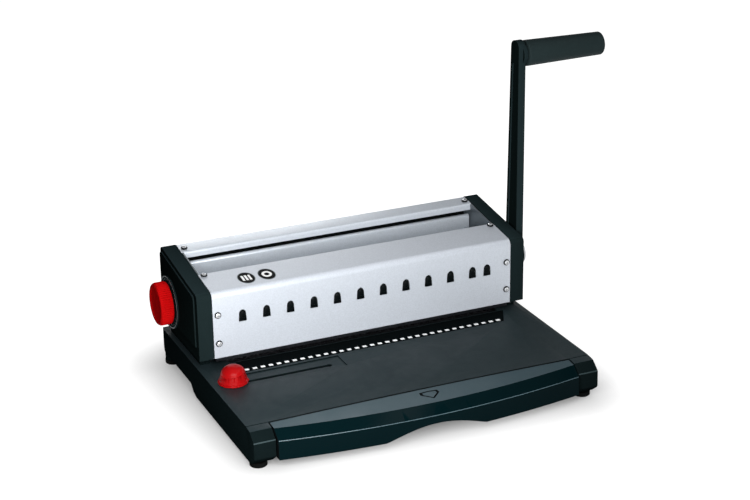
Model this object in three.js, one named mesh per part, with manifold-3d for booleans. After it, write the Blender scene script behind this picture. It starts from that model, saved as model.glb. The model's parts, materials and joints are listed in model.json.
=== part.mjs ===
// A desk machine that punches a row of square holes in paper and closes a wire spine round them.
// Millimetres, +Z up. X runs along the row of holes, the user stands at -Y.
// While the pieces are made, x = 0 is the middle of the housing, y = 0 the front cover's face
// and z = 0 the floor; the whole group is then moved so that its box stands on the origin.
import * as THREE from 'three';
import { mergeVertices } from 'three/addons/utils/BufferGeometryUtils.js';
import { ConvexGeometry } from 'three/addons/geometries/ConvexGeometry.js';
import Module from 'manifold-3d';

const wasm = await Module();
wasm.setup();
const degree = Math.PI / 180;

// Clearances and working values
const seat = 0.3;            // between two pieces that rest on each other
const slide = 0.5;           // round a piece that moves
const overrun = 3;           // how far a cutting tool runs past the piece
const weld = 0.0001;         // points closer than this are one point
const roundSteps = 4;        // straight pieces in a rounded corner
const fineSteps = 6;
const coarseSteps = 3;
const circleSides = 20;
const smallCircleSides = 12;

// Row of holes
const holeCount = 34;
const holePitch = 8.4667;    // three holes to the inch
const holeSide = 4;
const rowShift = 1.7;        // the row's middle lies right of the housing's middle
const rowHalf = holePitch * (holeCount - 1) / 2;

// Housing
const coverMargin = 25;      // silver covers beyond the row's middle line, at each end
const sheet = 1.2;
const throatHeight = 9.4;    // front cover's lower edge above the table top
const panelRise = 79.1;      // front bend above the table top
const slopeAngle = 7.5;      // degrees, of every top face
const bendRound = 7;
const coverDepth = 41.5;
const coverFlange = 9;
const flangeEnd = 2.4;       // how much shorter the flange is at each end
const troughWidth = 48.5;    // between the front cover and the rear bar
const rearBarDepth = 18.3;
const lipHeight = 6.9;
const lipRound = 1.8;
const capWidth = 15.5;
const capOverhang = 4.2;     // end caps behind the rear bar
const capWall = 2.4;
const capRound = 5;
const capPanel = 1.5;        // how far the raised side panel stands proud
const capPanelFront = 7;     // panel's edges inside the cap's own outline
const capPanelTop = 4;
const capPanelRear = 1.5;
const capPanelLow = 13;
const plateThickness = 1.5;
const plateToe = 20;         // lower front corner of the side plates behind the cover's face
const tabLength = 7;
const tabHeight = 8;

// Base
const baseTop = 39.5;
const baseOverhang = 13;     // table behind the end caps
const baseUnder = 5;
const rearUnder = 14.2;
const baseWall = 3;
const cornerRound = 12;
const blockWidth = 21.6;     // corner blocks beside the drawer
const blockDepth = 27.5;
const noseSeam = 133.5;      // where the table ends and the nose begins, in front of the cover
const noseFlatRun = 10;
const noseFlatDrop = 1.3;
const noseCreaseRun = 9.8;
const creaseDrop = 9.5;
const noseFaceRun = 0.4;
const faceDrop = 26.5;
const chinBack = 10.2;
const stepFront = 12.5;      // the underside steps up behind the drawer
const stepRear = 28.5;
const stepMid = 21.5;
const stepMidRise = 2.6;
const rearRise = 11;
const rearRun = 12;
const rearDrop = 6.5;
const noseRound = 5;         // of the corners of the base's side outline
const creaseRound = 2;
const faceRound = 4;
const rearRound = 3;
const plinthWidth = 10;
const plinthInset = 4.5;
const plinthFront = 12;
const plinthShort = 6.5;

// Feet
const footRadius = 8.5;
const footFlare = 0.8;
const footInset = 9.2;
const frontFootBack = 15.5;  // foot's middle behind the nose
const rearFootAhead = 11.5;
const postRadius = 8.2;

// Scale strip and edge guide on the table top
const stripFront = 22;
const stripBack = 1.2;       // table left between the strip and the die
const stripMargin = 4.5;
const stripTip = 12;
const stripThick = 0.5;
const recessDepth = 1.2;
const guideY = -41.5;
const guideWidth = 25;
const recessBack = 3;        // recess's middle behind the slot
const guideLead = 12;        // recess before the first hole
const guideLength = 105.7;
const slotWidth = 4.4;
const slotShort = 12.7;
const slotEndRadius = 2.9;   // of the round end that the slider goes in through
const guideAhead = 22.3;     // guide's middle before the first hole
const guideRadius = 15;
const guideHeight = 17.8;
const guideSetBack = 2.5;    // guide's head behind the slot
const guidePoint = 14.6;     // point of the guide's base to the right of its middle
const guidePointRound = 1.2;
const guidePointHeight = 1;
const guideRimHeight = 2.6;
const guideWaist = 11.9;     // radius under the guide's domed cap
const guideCapLow = 9.6;
const domeRadius = 12.1;
const domeShares = [
  [1, 0], [1, 0.1], [0.95, 0.3], [0.85, 0.52], [0.69, 0.73], [0.46, 0.89], [0.23, 0.97], [0, 1],
];
const postClear = 0.4;
const sliderLength = 16;
const sliderWidth = 12;
const sliderThick = 4.5;

// Die, stripper and punches
const punchY = 12;
const dieThick = 8;
const dieHalfDepth = 7.5;
const dieMargin = 10;
const dieClear = 0.3;
const throatGap = 5;         // between die and stripper, where the paper goes in
const stripperThick = 4;
const stripperFront = 2.5;
const stripperRear = 27;
const stopDepth = 3;
const stopOffset = 5.2;
const carrierHeight = 12;
const carrierHalfDepth = 5;
const punchInside = 0.5;     // how far the resting punch tips stand inside the stripper
const punchTravel = 12;

// Drive: one shaft, two cranks, forks on the punch carrier and the closing bar
const pivotY = 31;
const pivotRise = 51;
const shaftRadius = 5;
const leverThrow = 80;       // degrees
const closerTravel = 22;
const punchPinRadius = 2.5;
const closerPinRadius = 3;
const punchForkClear = 0.45;
const closerForkClear = 0.6;
const forkWall = 3;
const crankWidth = 6;
const crankInset = 8.9;      // crank's outer face inside the side plate
const crankHub = 9;
const crankRim = 2.5;
const heelReach = 17.5;
const heelAngle = 252;       // degrees from +Y towards +Z, at rest
const heelRound = 4;
const lugWidth = 6;
const lugGap = 2;
const armWidth = 3;
const armGap = 2;
const armHeight = 4.5;
const bushFlange = 9.5;
const bushWall = 3;
const bushFlangeThick = 2;
const tieRadius = 3;
const frontTieY = 8;
const frontTieRise = 19.5;
const rearTieBack = 2;
const rearTieDrop = 30.5;

// Return spring on the shaft
const springWire = 1.6;
const springRadius = 6.4;
const springPitch = 2.5;
const springTurns = 8;
const springInset = 30;      // from the right crank to the spring's middle
const springLeg = 9;
const springSides = 5;
const springTurnSteps = 10;
const springLegSteps = 3;

// Wire trough
const floorClear = 2.5;
const floorThick = 1.5;
const closerDepth = 13;
const closerGap = 2.7;
const closerEnd = 1;
const closerLean = 32;       // degrees, of the closer's top face, down to the rear
const closerRound = 3;
const closedGap = 8;
const anvilDepth = 8;
const anvilHeight = 15;
const anvilMargin = 17;

// Hooks on the front cover
const hookCount = 12;
const hookStep = 3;          // holes from one hook to the next
const lastHookStep = 2;
const hookRoundShare = 0.85;
const hookWidth = 5.8;
const hookHeight = 11.8;
const hookFlare = 0.6;
const hookRise = 50.8;
const hookReach = 2.2;
const hookClear = 0.35;
const hookBar = 3;
const hookBarMargin = 5;

// Screws
const screwHead = 3.4;
const screwDome = 2.1;
const screwDomeShares = [[1, 0.45], [0.72, 0.85]];
const screwShank = 1.5;
const screwLength = 5.5;
const screwHole = 1.9;
const screwInset = 5;
const upperScrewRise = 55.7;
const lowerScrewRise = 25.3;
const slopeScrewBack = 4.5;
const rearScrewRise = 46;
const rearScrewShare = 0.4;  // how far back on the rear bar

// Binding size knob, its shaft, cam and stop
const knobAhead = 30.1;      // knob's middle in front of the cap's rear face
const knobRise = 42.6;
const knobRadius = 22.2;
const knobThick = 13.7;
const knobGap = 2.6;
const knobRibs = 36;
const ribDepth = 0.6;
const knobDish = 1.4;
const knobRim = 4;
const neckRadius = 10;
const dialRadius = 27.8;
const dialThick = 1.2;
const dialGroove = 1.2;
const dialStep = 0.4;
const knobShaftRadius = 4;
const camLow = 8;
const stopTravel = 6;
const knobThrow = 270;       // degrees
const camDwellShare = 0.9;   // share of a turn where the cam is low again
const camDropShare = 0.78;   // share of a turn where the cam starts to drop
const camSteps = 30;
const stopSide = 5;
const guideWall = 3;
const guideDepth = 7;
const guideBack = 6;

// Lever
const armThick = 8;
const armClear = 0.8;
const hubRadius = 14;
const armFront = 21.5;
const armRearTop = 38.3;
const armRearLow = 45.6;
const armTop = 283.8;        // above the table top
const armRound = 7;
const armPocket = 1.5;
const pocketInset = 3.6;
const pocketRound = 4;
const pocketLow = 26;        // above the pivot
const pocketTop = 24;        // below the arm's top
const bossRadius = 11.5;
const bossLength = 1.6;
const gripY = 30;
const gripDrop = 14.3;       // grip's middle below the arm's top
const gripGap = 1.2;
const gripLength = 89.6;
const gripRadius = 13.5;
const gripEndRadius = 12.1;
const gripRound = 2.2;
const gripRoundShare = 0.3;
const gripEdge = 1;
const axleRadius = 4;
const axleShort = 4;
const capDiscRadius = 12.5;
const capDiscDome = 5.2;
const capDiscRim = 1.2;
const capDiscShares = [[0.8, 0.75], [0.4, 0.95]];

// Drawer
const bayGap = 1.2;
const stripRun = 11.8;       // top strip of the drawer's front, at its ends
const stripBow = 15.5;
const stripDrop = 1.6;
const seamBow = 2.6;
const seamDrop = 0.5;
const drawerCreaseRun = 10.7;
const drawerBow = 15.2;
const drawerCreaseDrop = 10.2;
const drawerFaceRun = 1.2;
const faceBow = 14.4;
const drawerLowDrop = 29.3;
const archHeight = 11;
const archHalf = 52;
const archX = -2.8;
const frontWall = 3;
const webThick = 3;
const drawerEndWall = 2.5;
const webOverlap = 4.5;      // how far the web reaches over the tray
const drawerStations = 24;
const trayBack = 7.5;
const trayRear = 21.5;
const trayWall = 2;
const trayTopDrop = 9.5;
const bottomThick = 2;
const bottomRaise = 0.5;
const runnerHeight = 5;
const runnerWidth = 5.5;
const runnerClear = 3.3;     // between runner and side wall

// Places worked out from the sizes above
const noseFlat = noseSeam + noseFlatRun;
const noseCrease = noseFlat + noseCreaseRun;
const noseFace = noseCrease + noseFaceRun;
const chinReach = noseFace - chinBack;
const stripEnd = noseSeam + stripRun;
const drawerCrease = stripEnd + drawerCreaseRun;
const drawerFace = drawerCrease + drawerFaceRun;
const trayFront = noseSeam - trayBack;
const webRear = trayFront - webOverlap;
const holeX = (index) => rowShift - rowHalf + index * holePitch;
const coverHalf = rowHalf + coverMargin;
const rearBarFront = coverDepth + troughWidth;
const rearBarRear = rearBarFront + rearBarDepth;
const capDepth = rearBarRear + capOverhang;
const baseRear = capDepth + baseOverhang;
const slope = Math.tan(slopeAngle * degree);
const creaseZ = baseTop + panelRise;
const topAt = (y) => creaseZ + y * slope;
const panelLow = baseTop + throatHeight;
const capInner = coverHalf + seat;
const capOuter = capInner + capWidth;
const baseHalf = capOuter + capPanel;
const bayHalf = baseHalf - blockWidth;
const trayHalf = bayHalf - runnerClear - runnerWidth - slide;
const frontFootY = frontFootBack - noseFace;
const rearFootY = baseRear - rearFootAhead;
const dieFront = punchY - dieHalfDepth - dieClear;
const stripRear = dieFront - stripBack;
const guideX = holeX(0) - guideAhead;
const guideLeft = holeX(0) - guideLead;
const guideRight = guideLeft + guideLength;
const slotEnd = guideRight - slotShort;
const plateOuter = coverHalf - seat;
const plateInner = plateOuter - plateThickness;
const plateFront = sheet + seat;
const rearCoverFace = rearBarRear - sheet - seat;
const plateRear = rearCoverFace - sheet - seat;
const pivotZ = baseTop + pivotRise;
const crankOuter = plateInner - crankInset;
const crankInner = crankOuter - crankWidth;
const lugOuter = crankInner - lugGap;
const lugInner = lugOuter - lugWidth;
const armInner = crankOuter + armGap;
const armOuter = armInner + armWidth;
const halfThrow = leverThrow / 2 * degree;
const closerArm = closerTravel / (2 * Math.sin(halfThrow));
const punchArm = punchTravel / (2 * Math.sin(halfThrow));
const closerPin = [pivotY + closerArm * Math.sin(halfThrow), pivotZ + closerArm * Math.cos(halfThrow)];
const punchPin = [pivotY - punchArm * Math.cos(halfThrow), pivotZ + punchArm * Math.sin(halfThrow)];
const floorTop = pivotZ + shaftRadius + floorClear + floorThick;
const lipLow = topAt(rearBarFront) - lipHeight;
const closerTop = lipLow - closerGap;
const anvilFace = rearBarFront - closerTravel - closedGap;
const dieTop = baseTop;
const stripperLow = baseTop + throatGap;
const stripperTop = stripperLow + stripperThick;
const carrierTop = pivotZ - seat;
const carrierLow = carrierTop - carrierHeight;
const knobY = capDepth - knobAhead;
const knobZ = baseTop + knobRise;
const knobInner = capOuter + capPanel + knobGap;
const knobOuter = knobInner + knobThick;
const camHigh = camLow + stopTravel;
const armLeft = capOuter + capPanel + armClear;
const armRight = armLeft + armThick;
const gripZ = baseTop + armTop - gripDrop;
const gripStart = armRight + bossLength + gripGap;
const gripEnd = gripStart + gripLength;
const trayTop = baseTop - trayTopDrop;
const bottomTop = baseUnder + bottomRaise + bottomThick;

// Materials
const makeMaterial = (color, roughness, metalness) =>
  () => new THREE.MeshStandardMaterial({ color, roughness, metalness });
const charcoal = makeMaterial(0x2b3237, 0.6, 0);
const blackPlastic = makeMaterial(0x14191b, 0.5, 0);
const glossPlastic = makeMaterial(0x0d2226, 0.25, 0);
const silverPaint = makeMaterial(0xc3c8d0, 0.4, 0.6);
const steel = makeMaterial(0x9a9ea3, 0.4, 0.9);
const darkSteel = makeMaterial(0x55585c, 0.5, 0.9);
const chrome = makeMaterial(0xd8dade, 0.15, 1);
const redPlastic = makeMaterial(0xd0121a, 0.35, 0);
const rubber = makeMaterial(0x101112, 0.9, 0);
const foam = makeMaterial(0x252c2e, 0.85, 0);

// Solids: join and cut
function toSolid(geometry) {
  const bare = geometry.clone();
  bare.deleteAttribute('normal');
  bare.deleteAttribute('uv');
  const merged = mergeVertices(bare, weld);
  const vertProperties = new Float32Array(merged.attributes.position.array);
  const triVerts = new Uint32Array(merged.index.array);
  return new wasm.Manifold(new wasm.Mesh({ numProp: 3, vertProperties, triVerts }));
}

function toGeometry(solid) {
  const mesh = solid.getMesh();
  const geometry = new THREE.BufferGeometry();
  geometry.setAttribute('position', new THREE.BufferAttribute(new Float32Array(mesh.vertProperties), 3));
  geometry.setIndex(new THREE.BufferAttribute(new Uint32Array(mesh.triVerts), 1));
  const flat = geometry.toNonIndexed();
  flat.computeVertexNormals();
  return flat;
}

function shaped(base, added = [], removed = []) {
  let solid = toSolid(base);
  for (const geometry of added) solid = solid.add(toSolid(geometry));
  for (const geometry of removed) solid = solid.subtract(toSolid(geometry));
  return toGeometry(solid);
}

// Outlines: corners are [across, up, radius]
function roundedOutline(corners, steps = roundSteps) {
  const outline = [];
  const count = corners.length;
  corners.forEach(([across, up, radius], index) => {
    const here = new THREE.Vector2(across, up);
    if (!radius) {
      outline.push(here);
      return;
    }
    const before = new THREE.Vector2(...corners[(index + count - 1) % count]).sub(here).normalize();
    const after = new THREE.Vector2(...corners[(index + 1) % count]).sub(here).normalize();
    const half = Math.acos(before.dot(after)) / 2;
    const middle = before.clone().add(after).normalize();
    const centre = here.clone().addScaledVector(middle, radius / Math.sin(half));
    const start = here.clone().addScaledVector(before, radius / Math.tan(half)).sub(centre);
    const end = here.clone().addScaledVector(after, radius / Math.tan(half)).sub(centre);
    const turn = Math.atan2(start.cross(end), start.dot(end));
    for (let step = 0; step <= steps; step += 1) {
      outline.push(start.clone().rotateAround(new THREE.Vector2(), turn * step / steps).add(centre));
    }
  });
  return outline;
}

function circleOutline(across, up, radius, sides = circleSides) {
  return Array.from({ length: sides }, (_, index) => {
    const angle = (index + 0.5) * 2 * Math.PI / sides;
    return new THREE.Vector2(across + radius * Math.cos(angle), up + radius * Math.sin(angle));
  });
}

// The smallest convex outline round a set of circles
function hullOutline(circles, sides = circleSides) {
  const points = circles.flatMap(([across, up, radius]) => circleOutline(across, up, radius, sides));
  points.sort((a, b) => a.x - b.x || a.y - b.y);
  const chain = (ordered) => {
    const kept = [];
    for (const point of ordered) {
      while (kept.length > 1) {
        const last = kept[kept.length - 1];
        const edge = last.clone().sub(kept[kept.length - 2]);
        if (edge.cross(point.clone().sub(last)) > weld) break;
        kept.pop();
      }
      kept.push(point);
    }
    return kept.slice(0, -1);
  };
  return [...chain(points), ...chain([...points].reverse())];
}

// Prisms: an outline in y and z along X, in x and z along Y, or in x and y along Z
function extruded(outline, length) {
  return new THREE.ExtrudeGeometry(new THREE.Shape(outline), { depth: length, bevelEnabled: false });
}

function alongX(outline, left, right) {
  const turn = new THREE.Matrix4().makeBasis(
    new THREE.Vector3(0, 1, 0), new THREE.Vector3(0, 0, 1), new THREE.Vector3(1, 0, 0));
  return extruded(outline, right - left).applyMatrix4(turn).translate(left, 0, 0);
}

function alongY(outline, front, rear) {
  const turn = new THREE.Matrix4().makeBasis(
    new THREE.Vector3(1, 0, 0), new THREE.Vector3(0, 0, 1), new THREE.Vector3(0, -1, 0));
  return extruded(outline, rear - front).applyMatrix4(turn).translate(0, rear, 0);
}

function alongZ(outline, low, high) {
  return extruded(outline, high - low).translate(0, 0, low);
}

function box(left, right, front, rear, low, high) {
  return new THREE.BoxGeometry(right - left, rear - front, high - low)
    .translate((left + right) / 2, (front + rear) / 2, (low + high) / 2);
}

// A turned piece: its profile is [radius, place along X] from axis to axis
function turnedX(profile, y, z, sides = circleSides) {
  const points = profile.map(([radius, along]) => new THREE.Vector2(radius, along));
  return new THREE.LatheGeometry(points, sides).rotateZ(-Math.PI / 2).translate(0, y, z);
}

// A turned piece that stands on z = 0: its profile is [radius, height]
function turnedZ(profile, sides = circleSides) {
  const points = profile.map(([radius, height]) => new THREE.Vector2(radius, height));
  return new THREE.LatheGeometry(points, sides).rotateX(Math.PI / 2);
}

const rodX = (radius, left, right, y, z, sides = circleSides) =>
  alongX(circleOutline(y, z, radius, sides), left, right);

const machine = new THREE.Group();

function addPiece(name, geometry, material) {
  const piece = new THREE.Mesh(geometry, material());
  piece.name = name;
  machine.add(piece);
  return piece;
}

// Both ends of the machine: side is -1 on the left and 1 on the right
const sides = [[-1, 'left'], [1, 'right']];
const spanX = (side, near, far) => (side < 0 ? [-far, -near] : [near, far]);

function baseShell() {
  const outline = roundedOutline([
    [-noseSeam, baseTop, 0],
    [-noseFlat, baseTop - noseFlatDrop, noseRound],
    [-noseCrease, baseTop - creaseDrop, creaseRound],
    [-noseFace, baseTop - faceDrop, faceRound],
    [-chinReach, baseUnder, creaseRound],
    [stepFront, baseUnder, faceRound],
    [stepMid, baseUnder + stepMidRise, faceRound],
    [stepRear, rearUnder, faceRound],
    [baseRear - rearRun, rearUnder, faceRound],
    [baseRear, rearUnder + rearRise, rearRound],
    [baseRear, baseTop - rearDrop, rearRound],
    [baseRear - rearDrop, baseTop, rearRound],
  ]);
  const plan = roundedOutline([
    [-baseHalf, -noseFace - overrun - baseWall, 0],
    [-baseHalf, baseRear, cornerRound],
    [baseHalf, baseRear, cornerRound],
    [baseHalf, -noseFace - overrun - baseWall, 0],
  ]);
  const innerHalf = baseHalf - baseWall;
  const innerTop = baseTop - baseWall;
  const innerRear = baseRear - baseWall;
  const cavity = alongX([
    [blockDepth - noseFace, -overrun], [blockDepth - noseFace, innerTop],
    [innerRear - rearDrop, innerTop], [innerRear, innerTop - rearDrop], [innerRear, -overrun],
  ].map(([y, z]) => new THREE.Vector2(y, z)), -innerHalf, innerHalf);
  const seamLine = (x) => -noseSeam + seamBow * (1 - (x / bayHalf) ** 2);
  const bayEdge = Array.from({ length: drawerStations + 1 }, (_, index) => {
    const x = bayHalf - 2 * bayHalf * index / drawerStations;
    return new THREE.Vector2(x, seamLine(x));
  });
  const bayFront = -noseFace - overrun;
  const bay = alongZ([
    new THREE.Vector2(-bayHalf, bayFront), new THREE.Vector2(bayHalf, bayFront), ...bayEdge,
  ], -overrun, baseTop + overrun);
  const underBay = box(-bayHalf, bayHalf, bayFront, blockDepth - noseFace + overrun, -overrun, innerTop);
  const dieHalf = rowHalf + dieMargin + dieClear;
  const dieRear = punchY + dieHalfDepth + dieClear;
  const dieHole = box(rowShift - dieHalf, rowShift + dieHalf, dieFront, dieRear, 0, baseTop + overrun);
  const recessMiddle = guideY + recessBack;
  const recess = box(guideLeft, guideRight, recessMiddle - guideWidth / 2, recessMiddle + guideWidth / 2,
    baseTop - recessDepth, baseTop + overrun);
  const slot = alongZ(hullOutline([
    [guideX, guideY, slotWidth / 2], [slotEnd - slotWidth / 2, guideY, slotWidth / 2],
  ], smallCircleSides), 0, baseTop + overrun);
  const slotHole = alongZ(circleOutline(slotEnd - slotEndRadius, guideY, slotEndRadius, smallCircleSides),
    0, baseTop + overrun);
  const stripRecess = alongZ(stripOutline(seat), baseTop - stripThick - seat, baseTop + overrun);
  const plinths = sides.map(([side]) => {
    const [left, right] = spanX(side, capOuter - plinthInset - plinthWidth, capOuter - plinthInset);
    return box(left, right, plinthFront, capDepth - plinthShort, innerTop, panelLow - seat);
  });
  const posts = sides.map(([side]) => alongZ(
    circleOutline(side * (baseHalf - footInset), rearFootY, postRadius), baseUnder, innerTop + baseWall / 2));
  const body = toSolid(alongX(outline, -baseHalf, baseHalf))
    .intersect(toSolid(alongZ(plan, -overrun, baseTop + overrun)));
  return shaped(toGeometry(body.subtract(toSolid(cavity))), [...plinths, ...posts],
    [bay, underBay, dieHole, recess, slot, slotHole, stripRecess]);
}

function stripOutline(grow) {
  const left = holeX(0) - stripMargin - grow;
  const right = holeX(holeCount - 1) + stripMargin + grow;
  return [
    [left, -stripFront - grow], [right, -stripFront - grow],
    [right + stripTip, stripRear + grow], [left, stripRear + grow],
  ].map(([x, y]) => new THREE.Vector2(x, y));
}

function bottomPlate() {
  const half = baseHalf - baseWall - seat;
  return box(-half, half, blockDepth - noseFace + seat, stepFront, bottomTop - bottomThick, bottomTop);
}

function drawerRunner(side) {
  const [left, right] = spanX(side, trayHalf + slide, trayHalf + slide + runnerWidth);
  const low = bottomTop + seat;
  return box(left, right, -trayFront, stepFront - baseWall, low, low + runnerHeight);
}

function foot() {
  const top = baseUnder - seat;
  return turnedZ([[0, 0], [footRadius - footFlare, 0], [footRadius, footFlare], [footRadius, top], [0, top]]);
}

function edgeGuideKnob() {
  const low = baseTop + seat;
  const middle = guideY + guideSetBack;
  const sideCount = circleSides + smallCircleSides;
  const ring = (x, y, radius, height) => circleOutline(x, y, radius, sideCount)
    .map((point) => new THREE.Vector3(point.x, point.y, low + height));
  const skirt = new ConvexGeometry([
    ...ring(guideX, middle, guideRadius, 0), ...ring(guideX, middle, guideRadius, guideRimHeight),
    ...ring(guideX + guidePoint, guideY, guidePointRound, 0),
    ...ring(guideX + guidePoint, guideY, guidePointRound, guidePointHeight),
    ...ring(guideX, middle, guideWaist, guideCapLow + seat),
  ]);
  const profile = domeShares.map(([radiusShare, heightShare]) =>
    [domeRadius * radiusShare, guideCapLow + (guideHeight - guideCapLow) * heightShare]);
  const dome = turnedZ([[0, guideCapLow], ...profile], sideCount).translate(guideX, middle, low);
  const post = alongZ(circleOutline(guideX, guideY, slotWidth / 2 - postClear, smallCircleSides),
    baseTop - baseWall - seat, low + guideRimHeight);
  return shaped(dome, [skirt, post]);
}

function edgeGuideSlider() {
  const top = baseTop - baseWall - seat - seat;
  return box(guideX - sliderLength / 2, guideX + sliderLength / 2,
    guideY - sliderWidth / 2, guideY + sliderWidth / 2, top - sliderThick, top);
}

// Square holes or punches along the row, one prism each
const rowPrisms = (side, low, high) => Array.from({ length: holeCount }, (_, index) =>
  box(holeX(index) - side / 2, holeX(index) + side / 2, punchY - side / 2, punchY + side / 2, low, high));

function diePlate() {
  const half = rowHalf + dieMargin;
  const front = punchY - dieHalfDepth;
  const rear = punchY + dieHalfDepth;
  return shaped(box(rowShift - half, rowShift + half, front, rear, dieTop - dieThick, dieTop),
    [], rowPrisms(holeSide + slide, 0, dieTop + overrun));
}

function stripperPlate() {
  const half = plateInner - seat;
  return shaped(box(-half, half, stripperFront, stripperRear, stripperLow, stripperTop),
    [], rowPrisms(holeSide + slide, 0, stripperTop + overrun));
}

function paperStop() {
  const half = rowHalf + dieMargin;
  const front = punchY + stopOffset;
  return box(rowShift - half, rowShift + half, front, front + stopDepth, dieTop + seat, stripperLow - seat);
}

function punchCarrier() {
  const front = punchY - carrierHalfDepth;
  const rear = punchY + carrierHalfDepth;
  const bar = box(-lugOuter, lugOuter, front, rear, carrierLow, carrierTop);
  const forkRear = pivotY - shaftRadius - slide;
  const slotHalf = punchPinRadius + punchForkClear;
  const slotFront = pivotY - punchArm - punchPinRadius - slide;
  const lugs = sides.map(([side]) => {
    const [left, right] = spanX(side, lugInner, lugOuter);
    const outline = [
      [front, carrierLow], [rear, carrierLow], [rear, punchPin[1] - slotHalf - forkWall],
      [forkRear, punchPin[1] - slotHalf - forkWall], [forkRear, punchPin[1] - slotHalf],
      [slotFront, punchPin[1] - slotHalf], [slotFront, punchPin[1] + slotHalf],
      [forkRear, punchPin[1] + slotHalf], [forkRear, punchPin[1] + slotHalf + forkWall],
      [front, punchPin[1] + slotHalf + forkWall],
    ].map(([y, z]) => new THREE.Vector2(y, z));
    return alongX(outline, left, right);
  });
  const punches = rowPrisms(holeSide, stripperLow + punchInside, carrierLow + carrierHeight / 2);
  return shaped(bar, [...lugs, ...punches]);
}

function crank(side) {
  const toHeel = heelAngle * degree;
  const heel = [pivotY + heelReach * Math.cos(toHeel), pivotZ + heelReach * Math.sin(toHeel)];
  const outline = hullOutline([
    [pivotY, pivotZ, crankHub], [...closerPin, closerPinRadius + crankRim],
    [...punchPin, punchPinRadius + crankRim], [...heel, heelRound],
  ], smallCircleSides + smallCircleSides);
  const [left, right] = spanX(side, crankInner, crankOuter);
  const outward = spanX(side, crankOuter - overrun, armOuter + slide);
  const inward = spanX(side, lugInner, crankInner + overrun);
  return shaped(alongX(outline, left, right), [
    rodX(closerPinRadius, ...outward, ...closerPin),
    rodX(punchPinRadius, ...inward, ...punchPin),
  ], [rodX(shaftRadius + seat, left - overrun, right + overrun, pivotY, pivotZ)]);
}

function driveShaft() {
  return rodX(shaftRadius, -plateOuter - seat, armRight, pivotY, pivotZ);
}

function shaftBush(side) {
  const inner = shaftRadius + seat;
  const flangeFace = plateInner - seat - bushFlangeThick;
  const outer = inner + bushWall;
  const profile = [[inner, flangeFace], [bushFlange, flangeFace], [bushFlange, plateInner - seat],
    [outer, plateInner - seat], [outer, plateOuter], [inner, plateOuter], [inner, flangeFace]];
  return turnedX(profile, 0, 0).rotateZ(side < 0 ? Math.PI : 0).translate(0, pivotY, pivotZ);
}

// The spring is one tube; its centre line is a helix with a straight leg at each end
class SpringLine extends THREE.Curve {
  getPoint(share, target = new THREE.Vector3()) {
    const coil = 2 * Math.PI * springRadius * springTurns;
    const along = share * (coil + 2 * springLeg) - springLeg;
    const turned = Math.min(Math.max(along / coil, 0), 1);
    const angle = turned * springTurns * 2 * Math.PI;
    const over = along - turned * coil;
    const length = springPitch * springTurns;
    return target.set(
      (turned - 0.5) * length,
      springRadius * Math.sin(angle) + over * Math.cos(angle),
      springRadius * Math.cos(angle) - over * Math.sin(angle));
  }
}

function returnSpring() {
  const line = new SpringLine();
  const section = circleOutline(0, 0, springWire / 2, springSides);
  const steps = springTurns * springTurnSteps + 2 * springLegSteps;
  const spring = new THREE.ExtrudeGeometry(new THREE.Shape(section), { extrudePath: line, steps });
  const points = line.getPoints(steps);
  let least = Infinity;
  points.forEach((point, index) => points.slice(index + 2 * springLegSteps).forEach((other) => {
    least = Math.min(least, point.distanceTo(other) - springWire);
  }));
  console.log(`return_spring: least gap to itself ${least.toFixed(2)} mm`);
  return spring.translate(crankInner - springInset, pivotY, pivotZ);
}

function tieRod(y, z) {
  return rodX(tieRadius, -plateInner + seat, plateInner - seat, y, z, smallCircleSides);
}

// Side plate of the chassis, with a tab for each screw
function chassisPlate(side) {
  const under = sheet + seat + seat;
  const outline = [
    [plateFront, panelLow + seat], [plateToe, panelLow + seat], [plateToe, baseTop + seat],
    [plateRear, baseTop + seat], [plateRear, topAt(plateRear) - under],
    [rearBarFront + sheet + seat, topAt(rearBarFront + sheet + seat) - under],
    [rearBarFront + sheet + seat, lipLow - seat], [rearBarFront - seat, lipLow - seat],
    [rearBarFront - seat, topAt(rearBarFront) - seat],
    [coverDepth + seat, topAt(coverDepth) - seat], [coverDepth + seat, topAt(coverDepth) - under],
    [bendRound + sheet, topAt(bendRound) - under], [plateFront, creaseZ - bendRound - sheet],
  ].map(([y, z]) => new THREE.Vector2(y, z));
  const [left, right] = spanX(side, plateInner, plateOuter);
  const [tabLeft, tabRight] = spanX(side, plateInner - tabLength, plateInner + plateThickness / 2);
  const upright = (front, z) =>
    box(tabLeft, tabRight, front, front + plateThickness, z - tabHeight / 2, z + tabHeight / 2);
  const sloped = (y) => alongX([
    [y - tabHeight / 2, topAt(y - tabHeight / 2) - under - plateThickness],
    [y + tabHeight / 2, topAt(y + tabHeight / 2) - under - plateThickness],
    [y + tabHeight / 2, topAt(y + tabHeight / 2) - under],
    [y - tabHeight / 2, topAt(y - tabHeight / 2) - under],
  ].map(([across, up]) => new THREE.Vector2(across, up)), tabLeft, tabRight);
  const tabs = [
    upright(plateFront, baseTop + upperScrewRise), upright(plateFront, baseTop + lowerScrewRise),
    upright(plateRear - plateThickness, baseTop + rearScrewRise),
    sloped(coverDepth - sheet - seat - tabHeight / 2), sloped(rearBarMiddle()),
  ];
  const bushRadius = shaftRadius + seat + bushWall + seat;
  const bushHole = rodX(bushRadius, left - overrun, right + overrun, pivotY, pivotZ);
  const knobHole = rodX(knobShaftRadius + slide, left - overrun, right + overrun, knobY, knobZ);
  const holes = screwPlaces().filter((place) => place.side === side).map((place) => screwCut(place));
  return shaped(alongX(outline, left, right), tabs, [bushHole, ...(side < 0 ? [knobHole] : []), ...holes]);
}

const rearBarMiddle = () => rearBarFront + rearBarDepth * rearScrewShare;

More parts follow.
